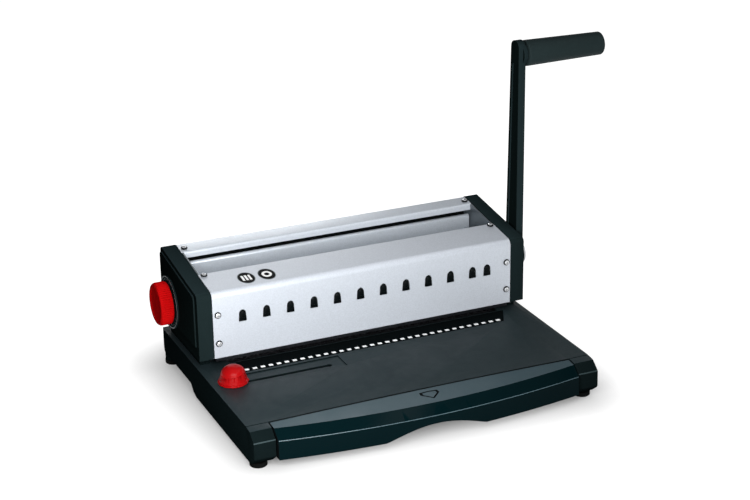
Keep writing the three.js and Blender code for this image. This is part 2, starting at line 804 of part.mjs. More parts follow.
// Every cover screw: its side, the point under its head and the way its head faces
function screwPlaces() {
  const up = new THREE.Vector3(0, -Math.sin(slopeAngle * degree), Math.cos(slopeAngle * degree));
  const front = new THREE.Vector3(0, -1, 0);
  const back = new THREE.Vector3(0, 1, 0);
  const slopeY = coverDepth - slopeScrewBack;
  return sides.flatMap(([side, label]) => {
    const x = side * (coverHalf - screwInset);
    return [
      ['front_upper', x, 0, baseTop + upperScrewRise, front],
      ['front_lower', x, 0, baseTop + lowerScrewRise, front],
      ['cover_top', x, slopeY, topAt(slopeY), up],
      ['rear_bar', x, rearBarMiddle(), topAt(rearBarMiddle()), up],
      ['rear_cover', x, rearCoverFace, baseTop + rearScrewRise, back],
    ].map(([place, px, py, pz, facing]) =>
      ({ name: `${place}_screw_${label}`, side, at: new THREE.Vector3(px, py, pz), facing }));
  });
}

function placedScrew(geometry, place) {
  const turn = new THREE.Quaternion().setFromUnitVectors(new THREE.Vector3(0, 0, 1), place.facing);
  return geometry.applyQuaternion(turn).translate(place.at.x, place.at.y, place.at.z);
}

function screw(place) {
  const dome = screwDomeShares.map(([radiusShare, heightShare]) =>
    [screwHead * radiusShare, seat + screwDome * heightShare]);
  const profile = [[0, -screwLength], [screwShank, -screwLength], [screwShank, seat], [screwHead, seat],
    ...dome, [0, seat + screwDome]];
  return placedScrew(turnedZ(profile, smallCircleSides), place);
}

function screwCut(place) {
  const reach = screwLength + overrun;
  return placedScrew(alongZ(circleOutline(0, 0, screwHole, smallCircleSides), -reach, overrun), place);
}

// A bullet outline in x and z: round at the top, a little wider below
function hookOutline(x, grow) {
  const half = hookWidth / 2 + grow;
  const low = baseTop + hookRise - hookHeight / 2 - grow;
  const high = baseTop + hookRise + hookHeight / 2 + grow;
  return roundedOutline([
    [x - half - hookFlare, low, hookFlare], [x + half + hookFlare, low, hookFlare],
    [x + half, high, half * hookRoundShare], [x - half, high, half * hookRoundShare],
  ], coarseSteps);
}

// Hooks sit halfway between two holes; the last one follows a shorter step
const hookXs = () => Array.from({ length: hookCount }, (_, index) => {
  const back = index === hookCount - 1 ? hookStep - lastHookStep : 0;
  return holeX(index * hookStep - back) + holePitch / 2;
});

function frontCover() {
  const inside = sheet;
  const rearTop = topAt(coverDepth);
  const skin = roundedOutline([
    [0, panelLow, 0], [0, creaseZ, bendRound], [coverDepth, rearTop, 0],
    [coverDepth, rearTop - sheet, 0], [inside, creaseZ - sheet + inside * slope, bendRound - sheet],
    [inside, panelLow, 0],
  ].reverse(), fineSteps);
  const flange = box(-coverHalf + flangeEnd, coverHalf - flangeEnd, coverDepth - sheet, coverDepth,
    rearTop - coverFlange, rearTop - sheet / 2);
  const slots = hookXs().map((x) => alongY(hookOutline(x, hookClear), -overrun, sheet + overrun));
  const holes = screwPlaces().filter((place) => /front|top/.test(place.name)).map(screwCut);
  return shaped(alongX(skin, -coverHalf, coverHalf), [flange], [...slots, ...holes]);
}

function hookStrip() {
  const xs = hookXs();
  const bar = box(xs[0] - hookWidth / 2 - hookBarMargin, xs[xs.length - 1] + hookWidth / 2 + hookBarMargin,
    plateFront, plateFront + hookBar,
    baseTop + hookRise - hookHeight / 2 - hookFlare, baseTop + hookRise + hookHeight / 2 + hookFlare);
  const hooks = xs.map((x) => alongY(hookOutline(x, 0), -hookReach, plateFront + hookBar / 2));
  return shaped(bar, hooks);
}

function rearBar() {
  const rear = rearBarRear;
  const inFront = rearBarFront + sheet;
  const inRear = rear - sheet;
  const skin = roundedOutline([
    [rearBarFront, lipLow, 0], [inFront, lipLow, 0], [inFront, topAt(inFront) - sheet, 0],
    [inRear, topAt(inRear) - sheet, 0], [inRear, topAt(rear) - lipHeight, 0],
    [rear, topAt(rear) - lipHeight, 0],
    [rear, topAt(rear), lipRound], [rearBarFront, topAt(rearBarFront), lipRound],
  ]);
  const holes = screwPlaces().filter((place) => /rear_bar/.test(place.name)).map(screwCut);
  return shaped(alongX(skin, -coverHalf, coverHalf), [], holes);
}

function rearCover() {
  const rear = rearCoverFace;
  const holes = screwPlaces().filter((place) => /rear_cover/.test(place.name)).map(screwCut);
  const high = topAt(rear) - sheet - seat - seat;
  return shaped(box(-coverHalf, coverHalf, rear - sheet, rear, baseTop + seat, high), [], holes);
}

function endCap(side) {
  const outline = (front, top = front, rear = front, under = front) => {
    const low = panelLow + under;
    const high = topAt(0) - top;
    const back = capDepth - rear;
    return roundedOutline([
      [front, low, 0], [back, low, 0],
      [back, high + back * slope, capRound], [front, high + front * slope, capRound],
    ]);
  };
  const [left, right] = spanX(side, capInner, capOuter);
  const [hollowLeft, hollowRight] = spanX(side, capInner - overrun, capOuter - capWall);
  const [panelLeft, panelRight] = spanX(side, capOuter - capWall / 2, capOuter + capPanel);
  const [cutLeft, cutRight] = spanX(side, capInner, capOuter + capPanel + overrun);
  const hole = side < 0
    ? rodX(knobShaftRadius + slide, cutLeft, cutRight, knobY, knobZ)
    : rodX(shaftRadius + slide, cutLeft, cutRight, pivotY, pivotZ);
  const panel = outline(capPanelFront, capPanelTop, capPanelRear, capPanelLow);
  return shaped(alongX(outline(0), left, right), [alongX(panel, panelLeft, panelRight)],
    [alongX(outline(capWall), hollowLeft, hollowRight), hole]);
}

function troughFloor() {
  const half = plateInner - seat;
  return box(-half, half, anvilFace - anvilDepth, plateRear - seat, floorTop - floorThick, floorTop);
}

function anvilBar() {
  const half = plateInner - anvilMargin;
  return box(-half, half, anvilFace - anvilDepth, anvilFace, floorTop + seat, floorTop + seat + anvilHeight);
}

function closerBar() {
  const half = plateInner - closerEnd;
  const rear = rearBarFront + closerDepth;
  const low = floorTop + seat;
  const rearTop = closerTop - closerDepth * Math.tan(closerLean * degree);
  return alongX(roundedOutline([
    [rearBarFront, low, 0], [rear, low, 0], [rear, rearTop, 0], [rearBarFront, closerTop, closerRound],
  ], fineSteps), -half, half);
}

function closerFork(side) {
  const low = floorTop + seat;
  const slotHalf = closerPinRadius + closerForkClear;
  const slotTop = pivotZ + closerArm + closerPinRadius + slide;
  const front = closerPin[0] - slotHalf - forkWall;
  const back = closerPin[0] + slotHalf + forkWall;
  const rear = rearBarFront - seat;
  const outline = [
    [front, low], [closerPin[0] - slotHalf, low], [closerPin[0] - slotHalf, slotTop],
    [closerPin[0] + slotHalf, slotTop], [closerPin[0] + slotHalf, low], [rear, low],
    [rear, low + armHeight], [back + forkWall, low + armHeight], [back, low + armHeight + forkWall],
    [back, slotTop + forkWall], [front, slotTop + forkWall],
  ].map(([y, z]) => new THREE.Vector2(y, z));
  return alongX(outline, ...spanX(side, armInner, armOuter));
}

function sizeKnob() {
  const outline = Array.from({ length: knobRibs * 4 }, (_, index) => {
    const radius = knobRadius - (index % 4 < 2 ? 0 : ribDepth);
    const angle = index * 2 * Math.PI / (knobRibs * 4);
    return new THREE.Vector2(knobY + radius * Math.cos(angle), knobZ + radius * Math.sin(angle));
  });
  const body = alongX(outline, -knobOuter, -knobInner);
  const neck = rodX(neckRadius, -knobInner - seat, -capOuter - capPanel - dialThick - seat, knobY, knobZ);
  const dish = rodX(knobRadius - knobRim, -knobOuter - overrun, -knobOuter + knobDish,
    knobY, knobZ, circleSides * 2);
  const bore = rodX(knobShaftRadius + seat, -knobOuter + knobThick / 2, -capOuter + overrun, knobY, knobZ);
  return shaped(body, [neck], [dish, bore]);
}

function sizeDial() {
  const inner = knobShaftRadius + slide;
  const face = -capOuter - capPanel - seat - dialThick;
  const profile = [[inner, face + dialThick], [inner, face], [dialRadius - dialGroove - dialGroove, face],
    [dialRadius - dialGroove, face - dialStep], [dialRadius, face + dialStep], [dialRadius, face + dialThick],
    [inner, face + dialThick]];
  return turnedX(profile, knobY, knobZ, circleSides * 2);
}

function knobShaft() {
  const left = -knobOuter + knobThick / 2 + seat;
  return rodX(knobShaftRadius, left, -crankInner, knobY, knobZ, smallCircleSides);
}

// A snail cam: its radius on the stop's side grows evenly as the knob turns
function gapCam() {
  const outline = Array.from({ length: camSteps }, (_, index) => {
    const turned = index / camSteps;
    const throwShare = knobThrow / 360;
    let radius = camLow;
    if (turned <= throwShare) radius += stopTravel * turned / throwShare;
    else if (turned <= camDropShare) radius = camHigh;
    else if (turned < camDwellShare) {
      radius += stopTravel * (camDwellShare - turned) / (camDwellShare - camDropShare);
    }
    const angle = Math.PI - turned * 2 * Math.PI;
    return new THREE.Vector2(knobY + radius * Math.cos(angle), knobZ + radius * Math.sin(angle));
  });
  return shaped(alongX(outline, -crankOuter, -crankInner - seat), [],
    [rodX(knobShaftRadius + seat, -crankOuter - overrun, -crankInner + overrun, knobY, knobZ)]);
}

function stopPlace() {
  const rear = knobY - camLow - slide;
  const heelEnd = pivotY + heelReach * Math.cos((heelAngle + leverThrow) * degree) + heelRound;
  return { front: heelEnd + slide + stopTravel, rear };
}

function stopSlide() {
  const { front, rear } = stopPlace();
  const middle = (crankOuter + crankInner) / 2;
  const half = stopSide / 2;
  return box(-middle - half, -middle + half, front, rear, knobZ - half, knobZ + half);
}

function stopGuide() {
  const { rear } = stopPlace();
  const middle = (crankOuter + crankInner) / 2;
  const clear = stopSide / 2 + seat;
  const far = -middle + clear + guideWall;
  const back = rear - guideBack;
  const front = back - guideDepth;
  const outer = clear + guideWall;
  const hole = box(-middle - clear, -middle + clear, front - overrun, back + overrun,
    knobZ - clear, knobZ + clear);
  return shaped(box(-plateInner + seat, far, front, back, knobZ - outer, knobZ + outer), [], [hole]);
}

function leverArm() {
  const top = baseTop + armTop;
  const outline = roundedOutline([
    [armFront, pivotZ, 0], [armRearLow, pivotZ, 0], [armRearTop, top, armRound], [armFront, top, armRound],
  ]);
  const taper = (armRearLow - armRearTop) / (top - pivotZ);
  const rearAt = (z) => armRearLow - taper * (z - pivotZ) - pocketInset;
  const pocket = roundedOutline([
    [armFront + pocketInset, pivotZ + pocketLow, pocketRound],
    [rearAt(pivotZ + pocketLow), pivotZ + pocketLow, pocketRound],
    [rearAt(top - pocketTop), top - pocketTop, pocketRound],
    [armFront + pocketInset, top - pocketTop, pocketRound],
  ]);
  return shaped(alongX(outline, armLeft, armRight), [
    rodX(hubRadius, armLeft, armRight, pivotY, pivotZ),
    rodX(bossRadius, armRight - overrun, armRight + bossLength, gripY, gripZ),
  ], [
    alongX(pocket, armLeft - overrun, armLeft + armPocket),
    rodX(shaftRadius + seat, armLeft - overrun, armRight + overrun, pivotY, pivotZ),
    rodX(axleRadius + seat, armLeft + armPocket + armPocket, armRight + bossLength + overrun, gripY, gripZ),
  ]);
}

function pivotCap() {
  const face = armRight + seat;
  const dome = capDiscShares.map(([radiusShare, heightShare]) =>
    [capDiscRadius * radiusShare, face + capDiscDome * heightShare]);
  return turnedX([[0, face], [capDiscRadius, face], [capDiscRadius, face + capDiscRim],
    ...dome, [0, face + capDiscDome]], pivotY, pivotZ);
}

function gripAxle() {
  const left = armLeft + armPocket + armPocket + seat;
  return rodX(axleRadius, left, gripEnd - axleShort, gripY, gripZ, smallCircleSides);
}

function grip() {
  const bore = axleRadius + slide;
  const soft = gripRound * gripRoundShare;
  const profile = [[bore, gripStart], [gripRadius - gripEdge, gripStart], [gripRadius, gripStart + gripEdge],
    [gripEndRadius, gripEnd - gripRound], [gripEndRadius - soft, gripEnd - soft],
    [gripEndRadius - gripRound, gripEnd], [0, gripEnd], [0, gripEnd - axleShort + slide],
    [bore, gripEnd - axleShort + slide], [bore, gripStart]];
  return turnedX(profile, gripY, gripZ, circleSides + roundSteps);
}

// The drawer's front: one closed section, bowed and arched from station to station
function drawerFront() {
  const half = bayHalf - bayGap;
  const sectionAt = (x) => {
    const bow = 1 - (x / half) ** 2;
    const fromArch = (x - archX) / archHalf;
    const arch = Math.abs(fromArch) < 1 ? archHeight * Math.cos(fromArch * Math.PI / 2) : 0;
    const seamY = -noseSeam + seamBow * bow - bayGap;
    const stripY = -stripEnd - stripBow * bow;
    const creaseY = -drawerCrease - drawerBow * bow;
    const faceY = -drawerFace - faceBow * bow;
    const low = baseTop - drawerLowDrop + arch;
    const webLow = trayTop + seat;
    return [
      [seamY, baseTop - seamDrop], [stripY, baseTop - stripDrop], [creaseY, baseTop - drawerCreaseDrop],
      [faceY, low], [faceY + frontWall, low], [creaseY + frontWall, webLow - frontWall],
      [creaseY + frontWall + frontWall, webLow], [-webRear, webLow], [-webRear, webLow + webThick],
      [seamY, webLow + webThick],
    ];
  };
  const positions = [];
  const stations = Array.from({ length: drawerStations + 1 },
    (_, index) => -half + 2 * half * index / drawerStations);
  stations.forEach((x) => sectionAt(x).forEach(([y, z]) => positions.push(x, y, z)));
  const count = sectionAt(0).length;
  const triangles = [];
  for (let station = 0; station < drawerStations; station += 1) {
    for (let corner = 0; corner < count; corner += 1) {
      const next = (corner + 1) % count;
      const a = station * count + corner;
      const b = station * count + next;
      triangles.push(a, b, a + count, b, b + count, a + count);
    }
  }
  const section = sectionAt(-half).map(([y, z]) => new THREE.Vector2(y, z));
  const last = drawerStations * count;
  THREE.ShapeUtils.triangulateShape(section, []).forEach(([a, b, c]) => {
    triangles.push(a, c, b, last + a, last + b, last + c);
  });
  const geometry = new THREE.BufferGeometry();
  geometry.setAttribute('position', new THREE.Float32BufferAttribute(positions, 3));
  geometry.setIndex(triangles);
  const [seam, strip, crease, face, ...inner] = sectionAt(half);
  const rear = inner.at(-1);
  const endOutline = [
    seam, strip, crease, face, [-trayFront - seat, face[1]], [-trayFront - seat, rear[1]], rear,
  ].map(([y, z]) => new THREE.Vector2(y, z));
  const ends = sides.map(([side]) => alongX(endOutline, ...spanX(side, half - drawerEndWall, half)));
  return shaped(geometry, ends);
}

function chipTray() {
  const low = bottomTop + seat;
  return shaped(box(-trayHalf, trayHalf, -trayFront, trayRear, low, trayTop), [], [
    box(-trayHalf + trayWall, trayHalf - trayWall, -trayFront + trayWall, trayRear - trayWall,
      low + trayWall, trayTop + overrun),
  ]);
}

addPiece('base_shell', baseShell(), charcoal);
addPiece('bottom_plate', bottomPlate(), darkSteel);
for (const [side, label] of sides) {
  const x = side * (baseHalf - footInset);
  addPiece(`foot_front_${label}`, foot(), rubber).position.set(x, frontFootY, 0);
  addPiece(`foot_rear_${label}`, foot(), rubber).position.set(x, rearFootY, 0);
  addPiece(`drawer_runner_${label}`, drawerRunner(side), blackPlastic);
  addPiece(`chassis_plate_${label}`, chassisPlate(side), steel);
  addPiece(`end_cap_${label}`, endCap(side), blackPlastic);
  addPiece(`shaft_bush_${label}`, shaftBush(side), chrome);
  addPiece(`crank_${label}`, crank(side), darkSteel);
  addPiece(`closer_fork_${label}`, closerFork(side), steel);
}
addPiece('scale_strip', alongZ(stripOutline(0), baseTop - stripThick, baseTop), blackPlastic);
addPiece('front_cover', frontCover(), silverPaint);
addPiece('hook_strip', hookStrip(), blackPlastic);
addPiece('rear_bar', rearBar(), silverPaint);
addPiece('rear_cover', rearCover(), silverPaint);
for (const place of screwPlaces()) addPiece(place.name, screw(place), chrome);
addPiece('die_plate', diePlate(), darkSteel);
addPiece('stripper_plate', stripperPlate(), darkSteel);
addPiece('paper_stop', paperStop(), steel);
addPiece('punch_carrier', punchCarrier(), darkSteel);
addPiece('drive_shaft', driveShaft(), steel);
addPiece('return_spring', returnSpring(), darkSteel);
addPiece('tie_rod_front', tieRod(frontTieY, pivotZ + frontTieRise), steel);
addPiece('tie_rod_rear', tieRod(rearBarFront + rearTieBack, pivotZ - rearTieDrop), steel);
addPiece('trough_floor', troughFloor(), steel);
addPiece('anvil_bar', anvilBar(), steel);
addPiece('closer_bar', closerBar(), silverPaint);
addPiece('size_knob', sizeKnob(), redPlastic);
addPiece('size_dial', sizeDial(), blackPlastic);
addPiece('knob_shaft', knobShaft(), steel);
addPiece('gap_cam', gapCam(), darkSteel);
addPiece('stop_slide', stopSlide(), darkSteel);
addPiece('stop_guide', stopGuide(), darkSteel);
addPiece('edge_guide_knob', edgeGuideKnob(), redPlastic);
addPiece('edge_guide_slider', edgeGuideSlider(), blackPlastic);
addPiece('lever_arm', leverArm(), blackPlastic);
addPiece('pivot_cap', pivotCap(), chrome);
addPiece('grip_axle', gripAxle(), steel);
addPiece('grip', grip(), foam);
addPiece('drawer_front', drawerFront(), glossPlastic);
addPiece('chip_tray', chipTray(), glossPlastic);

// The origin is the middle of the whole object's box, on the floor
const frontReach = drawerFace + faceBow;
machine.position.set((knobOuter - gripEnd) / 2, (frontReach - baseRear) / 2, 0);

export default machine;
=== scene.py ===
"""A desk machine that punches paper and closes wire spines: its finish, fine shapes, light and camera."""
import json
import math

import bmesh
import bpy
from mathutils import Matrix, Vector, geometry


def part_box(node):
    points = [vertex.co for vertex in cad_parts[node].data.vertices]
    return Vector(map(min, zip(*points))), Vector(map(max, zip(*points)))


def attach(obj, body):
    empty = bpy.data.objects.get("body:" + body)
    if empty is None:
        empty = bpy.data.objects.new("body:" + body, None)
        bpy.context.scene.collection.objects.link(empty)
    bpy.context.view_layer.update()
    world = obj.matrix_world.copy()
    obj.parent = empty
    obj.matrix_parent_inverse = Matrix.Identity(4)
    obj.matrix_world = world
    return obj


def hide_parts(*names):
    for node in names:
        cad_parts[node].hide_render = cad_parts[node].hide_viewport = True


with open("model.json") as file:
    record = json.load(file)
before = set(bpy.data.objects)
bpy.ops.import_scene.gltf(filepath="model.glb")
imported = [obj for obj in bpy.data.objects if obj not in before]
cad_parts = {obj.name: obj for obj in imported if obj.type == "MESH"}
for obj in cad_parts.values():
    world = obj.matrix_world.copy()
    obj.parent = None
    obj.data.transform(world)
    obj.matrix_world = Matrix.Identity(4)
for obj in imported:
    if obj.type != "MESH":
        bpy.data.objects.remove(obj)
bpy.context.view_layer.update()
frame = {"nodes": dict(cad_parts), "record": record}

# Shapes are made in millimetres, from the housing's middle, its front face and the floor
MM = 0.001
face_low, face_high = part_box("front_cover")
HOME = Vector(((face_low.x + face_high.x) / 2, face_low.y, 0))


def span(node):
    """The lowest and highest corner of a CAD node, in millimetres from the housing's home point."""
    return tuple((corner - HOME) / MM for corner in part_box(node))


COVER = span("front_cover")
TABLE = span("base_shell")
STRIP = span("scale_strip")
KNOB = span("size_knob")
DIAL = span("size_dial")
GUIDE = span("edge_guide_knob")
GRIP = span("grip")
DISC = span("pivot_cap")
FRONT = span("drawer_front")
TABLE_TOP = STRIP[1].z

# Sheet metal
SLOPE = math.tan(math.radians(7.5))
SHEET = 1.2
BEND = 7.0
CREASE_Z = COVER[1].z - COVER[1].y * SLOPE
FLANGE_DROP = 9.0
FLANGE_SHORT = 2.4
REAR_LIP = 2.4
REAR_BEND = 2.6
REAR_ROUND = 1.0
# The largest face, in square millimetres, that takes the painted edge highlight on the mouldings
HIGHLIGHT_FACE_AREA = 60
OVERRUN = 1.0

# Row of holes
PITCH = 8.4667
HOLES = 34
FIRST_HOLE = 1.7 - PITCH * (HOLES - 1) / 2
MARK = (4.3, 3.9)
MARK_ROUND = 0.4
MARK_Y = -17.65
INK_RISES = (0.01, 0.06)

# Hooks
HOOKS = 12
HOOK_WIDTH = 6.6
HOOK_HEIGHT = 11.8
HOOK_FLARE = 0.6
HOOK_Z = TABLE_TOP + 50.8
HOOK_OUT = 2.2
HOOK_CLEAR = 0.35
HOOK_CROWN_SHARE = 1.15
HOOK_CROWN_TURN = 1.35
HOOK_STEP = 0.8
HOOK_TIP_IN = 1.1
HOOK_TIP_LONG = 2.0
HOOK_TIP_LOW_SHARE = 0.25
HOOK_STRIP_GAP = 0.3

# Screws: the head, its shank as (radius, length), and its cross as (half length, half width) of an arm
HEAD_RADIUS = 3.4
HEAD_DOME = 2.1
HEAD_SKIRT = 0.7
HEAD_CHAMFER = (0.15, 0.2)
SHANK = (1.5, 5.5)
CROSS = (1.5, 0.32)
CROSS_DEEP = 0.9

# Badges on the slope
BADGES = ((-121.8, 18.6), (-100.0, 19.0))
BADGE_HALF = (8.9, 11.3)
BADGE_INK_SHARE = 0.93
BADGE_RISES = {"rim": (0, 0.12), "ink": (0.06, 0.2), "mark": (0.15, 0.24)}
BAR_PLACES = (-3.7, 0, 3.7)
BAR_HALF = (1.15, 5)
RING_HALF = (5.2, 5.8)
RING_HOLE_SHARE = 0.5

# Dial: its rim as (in from the edge, in from the outer face), its bead as (radius, in from the outer face)
DIAL_BORE = 5
DIAL_FACE = 0.4
DIAL_RIM = ((0, 0.5), (0.4, 0.15), (1.0, 0), (1.4, 0.15), (2.2, 0.4))
DIAL_BEAD = ((12.5, 0.4), (12.2, 0.2), (11.6, 0.2), (11.3, 0.4))
# A grey line painted as the highlight on the dial's rim: how far its outer and inner edges lie in from the
# rim, and its face's place from the dial's outer face
RIM_HIGHLIGHT = {"outer": 0.6, "inner": 1.5, "face": 0.02}
TICKS = 25
TICK_SWEEP = 300
TICK = {"start": 3.2, "short": 4.6, "long": 6.4, "half": 0.22, "face": 0.32}

# Size knob: its back and front as (in from the rim, in from the back or the front)
KNOB_SIDES = 360
KNOB_RIBS = 60
KNOB_BORE = (4.3, 6)
KNOB_NECK = (10, 1.1)
KNOB_BACK = ((2.0, 0), (0.7, 0.35), (0.1, 1.1), (0, 2.0))
KNOB_FRONT = ((0, 3.6), (0.15, 2.6), (0.6, 1.5), (1.4, 0.6), (2.4, 0.1), (3.2, 0), (4.0, 0.1), (4.7, 0.6),
              (5.2, 1.2), (6.0, 1.4))
KNOB_DISH = ((5, 1.15), (0, 1.1))
RIB_DEPTHS = {6: 0.2, 7: 0.55, 8: 0.55, 9: 0.55, 10: 0.2}

# Edge guide: sizes of its layers, with heights from its base up
GUIDE_LIFT = 0.3
GUIDE_TIP = {"round": 1.2, "aside": 2.5}
GUIDE_BASE = 1.5
GUIDE_RIM = {"inset": 0.5, "short": 1.0, "low": 1.3, "high": 2.8}
GUIDE_SKIRT = {"inset": 1.1, "foot": 2.4, "tip": (0.2, 1.2), "waist": (11.8, 9.8)}
GUIDE_TILT = 0.16
GUIDE_CAP = (12.1, 9.6)
GUIDE_POST = (1.8, 2)
DOME_SHARES = ((0.97, 0), (0.995, 0.02), (1, 0.06), (0.995, 0.11), (0.96, 0.14), (0.945, 0.17), (0.935, 0.27),
               (0.9, 0.4), (0.84, 0.52), (0.76, 0.63), (0.66, 0.74), (0.54, 0.84), (0.4, 0.92), (0.22, 0.98),
               (0, 1))

# Lever: the cap over the shaft's end, and the grip
DISC_EDGE = 1.2
DISC_CHAMFER = 0.2
GRIP_RADIUS = (13.5, 12.1)
GRIP_END = 2.2
GRIP_BORE = (4.5, 8)
GRIP_LIP = ((1.2, 0), (0.5, 0.25), (0.1, 0.8), (0, 1.6))

# Seams on the corner blocks of the table, and where its second finishes begin: painted shade on the walls,
# rear plinths and drawer bay, and a painted highlight on the blocks' crease
SEAM_X = (158, 184)
SEAM_Y = (-134.3, -133.2)
SEAM_DEEP = 1.0
PLINTH_X = 166
BAY_X = 160
BAY_Y = (-136, -128)
BLOCK_FACE_Y = -148
BLOCK_EDGE_DROPS = (7, 12)

# Drawer front: its lines from rear to front, and how far each bows forward in the middle; the crease's
# top and foot as (back from the crease line, down from the table's top)
DRAWER_LINES = {"seam": -135.2, "strip": -145.3, "crease": -156.0, "face": -157.2}
DRAWER_BOWS = {"seam": -2.6, "strip": 15.5, "crease": 15.2, "face": 14.4}
DRAWER_STATIONS = 96
DRAWER_GAP = 0.4
STRIP_DROP = 1.6
CREASE_TOP = (0.32, 9.95)
CREASE_FOOT = (-0.03, 10.55)
CREASE_DROP = 10.2
WEB_Z = 30.3
FRONT_WALL = 3.0
END_WALL = 2.5
END_REAR = -126.3
ARCH = {"x": -2.8, "half": 52.0, "height": 11.0}

# Pointing mark in the drawer's top strip, and the strip's own fall, which tells the groove's floor from it
POINTER_AT = (2.0, -146.0)
POINTER_SIZE = (20.0, 15.0)
POINTER_FLOOR = 36.9
POINTER_SHOULDER = 5
POINTER_CORNER = 0.6
POINTER_CREST = 1.0
POINTER_MIDDLE_SHARE = 0.12
POINTER_BORDER = 4.16
LEDGE_BACK = -132.1
LEDGE_RUN = 26.1
LEDGE_DROPS = (0.5, 1.1)

# Feet: the sole's round edge as (in from the side, up from the floor)
SOLE_EDGE = ((1.3, 0), (0.5, 0.25), (0, 0.9))
SOLE_CHAMFER = 0.3

# Floor and world
FLOOR_HALF = 6000
FLOOR_Z = -0.02
WORLD_LIGHT = 0.25
CEILING = (0.15, 0.15, 0.16, 1)
CEILING_RISE = 0.22
# The floor's painted soft shadow round the machine: its lift at the footprint, how far inside the table's
# edge the footprint starts, and how far out the lift rises to white
PAINTED_SHADOW_LIFT = 0.1
PAINTED_SHADOW_INSET = 25
PAINTED_SHADOW_WIDTH = 88

# Camera
CAMERA_AT = (-672.5, -1549.05, 796.1)
CAMERA_TURN = math.radians(23.776)
CAMERA_DOWN = math.radians(21.346)
CAMERA_ROLL = math.radians(0.876)
LENS_MM = 86.58


# Outlines and solids

def rounded(corners, steps=8):
    """An outline from (across, up, radius) corners, with an arc in each corner that has a radius."""
    outline = []
    for index, (across, up, radius) in enumerate(corners):
        here = Vector((across, up))
        if not radius:
            outline.append(here)
            continue
        before = (Vector(corners[index - 1][:2]) - here).normalized()
        after = (Vector(corners[(index + 1) % len(corners)][:2]) - here).normalized()
        half = before.angle(after) / 2
        centre = here + (before + after).normalized() * (radius / math.sin(half))
        reach = radius / math.tan(half)
        start = here + before * reach - centre
        end = here + after * reach - centre
        turn = math.atan2(start.x * end.y - start.y * end.x, start.dot(end))
        outline += [centre + Matrix.Rotation(turn * step / steps, 2) @ start for step in range(steps + 1)]
    return outline


def circle(across, up, radius, sides=48):
    """A round outline."""
    turns = [2 * math.pi * index / sides for index in range(sides)]
    return [Vector((across + radius * math.cos(turn), up + radius * math.sin(turn))) for turn in turns]


def oval(wide, deep, sides=48):
    """An outline of an ellipse about the middle, from its two half widths."""
    return [Vector((point.x * wide, point.y * deep)) for point in circle(0, 0, 1, sides)]


def quarter(steps, first=0):
    """Turns in equal steps up to a quarter, which is left out itself."""
    return [math.pi / 2 * step / steps for step in range(first, steps)]


def middle_of(box):
    """The middle of a CAD node's box, across and up, as seen along X."""
    return ((box[0].y + box[1].y) / 2, (box[0].z + box[1].z) / 2)


def wrapped(circles):
    """The outline of a band stretched round circles, each given as (across, up, radius)."""
    points = [point for across, up, radius in circles for point in circle(across, up, radius, 72)]
    return [points[index] for index in geometry.convex_hull_2d(points)]


def piece_from(name, verts, faces):
    """An object whose points are given in millimetres from the home point."""
    mesh = bpy.data.meshes.new(name)
    mesh.from_pydata([HOME + Vector(vert) * MM for vert in verts], [], faces)
    tidy = bmesh.new()
    tidy.from_mesh(mesh)
    bmesh.ops.recalc_face_normals(tidy, faces=tidy.faces)
    tidy.to_mesh(mesh)
    tidy.free()
    piece = bpy.data.objects.new(name, mesh)
    bpy.context.scene.collection.objects.link(piece)
    return piece


AXES = {
    "X": lambda across, up, along: (along, across, up),
    "Y": lambda across, up, along: (across, along, up),
    "Z": lambda across, up, along: (across, up, along),
}


def prism(name, outline, start, end, axis="X"):
    """An outline drawn out along an axis."""
    place = AXES[axis]
    count = len(outline)
    verts = [place(point[0], point[1], along) for along in (start, end) for point in outline]
    faces = [tuple(range(count)), tuple(range(2 * count - 1, count - 1, -1))]
    for index in range(count):
        after = (index + 1) % count
        faces.append((index, after, count + after, count + index))
    return piece_from(name, verts, faces)


def turned(name, profile, centre, axis="X", sides=72, ripple=None):
    """A turned piece. Its profile runs (radius, along); ripple changes a radius by its turn."""
    place = AXES[axis]
    verts, faces, rings = [], [], []
    for step, (radius, along) in enumerate(profile):
        if radius == 0:
            rings.append([len(verts)])
            verts.append(place(centre[0], centre[1], along))
            continue
        rings.append(list(range(len(verts), len(verts) + sides)))
        for index in range(sides):
            angle = 2 * math.pi * index / sides
            out = radius + (ripple(step, index) if ripple else 0)
            verts.append(place(centre[0] + out * math.cos(angle), centre[1] + out * math.sin(angle), along))
    for low, high in zip(rings, rings[1:]):
        for index in range(sides):
            after = (index + 1) % sides
            corners = [low[index % len(low)], low[after % len(low)],
                       high[after % len(high)], high[index % len(high)]]
            faces.append(tuple(dict.fromkeys(corners)))
    return piece_from(name, verts, faces)


def settled(piece):
    """Applies the piece's modifiers to its mesh."""
    graph = bpy.context.evaluated_depsgraph_get()
    mesh = bpy.data.meshes.new_from_object(piece.evaluated_get(graph))
    piece.modifiers.clear()
    piece.data = mesh
    return piece


def merged(piece, others, operation):
    """Cuts the other pieces from this one, or joins them to it; the others are used up."""
    for other in others:
        change = piece.modifiers.new("join or cut", "BOOLEAN")
        change.operation = operation
        change.solver = "EXACT"
        change.object = other
    settled(piece)
    for other in others:
        bpy.data.objects.remove(other)
    return piece


def cut(piece, *others):
    """Cuts the others from a piece."""
    return merged(piece, others, "DIFFERENCE")


def joined(piece, *others):
    """Joins the others to a piece."""
    return merged(piece, others, "UNION")


def cleaned(piece, flat=0.5):
    """Merges double points and makes each flat region one face."""
    work = bmesh.new()
    work.from_mesh(piece.data)
    bmesh.ops.remove_doubles(work, verts=work.verts, dist=0.002 * MM)
    bmesh.ops.dissolve_limit(work, angle_limit=math.radians(flat), verts=work.verts, edges=work.edges)
    work.to_mesh(piece.data)
    work.free()
    return piece


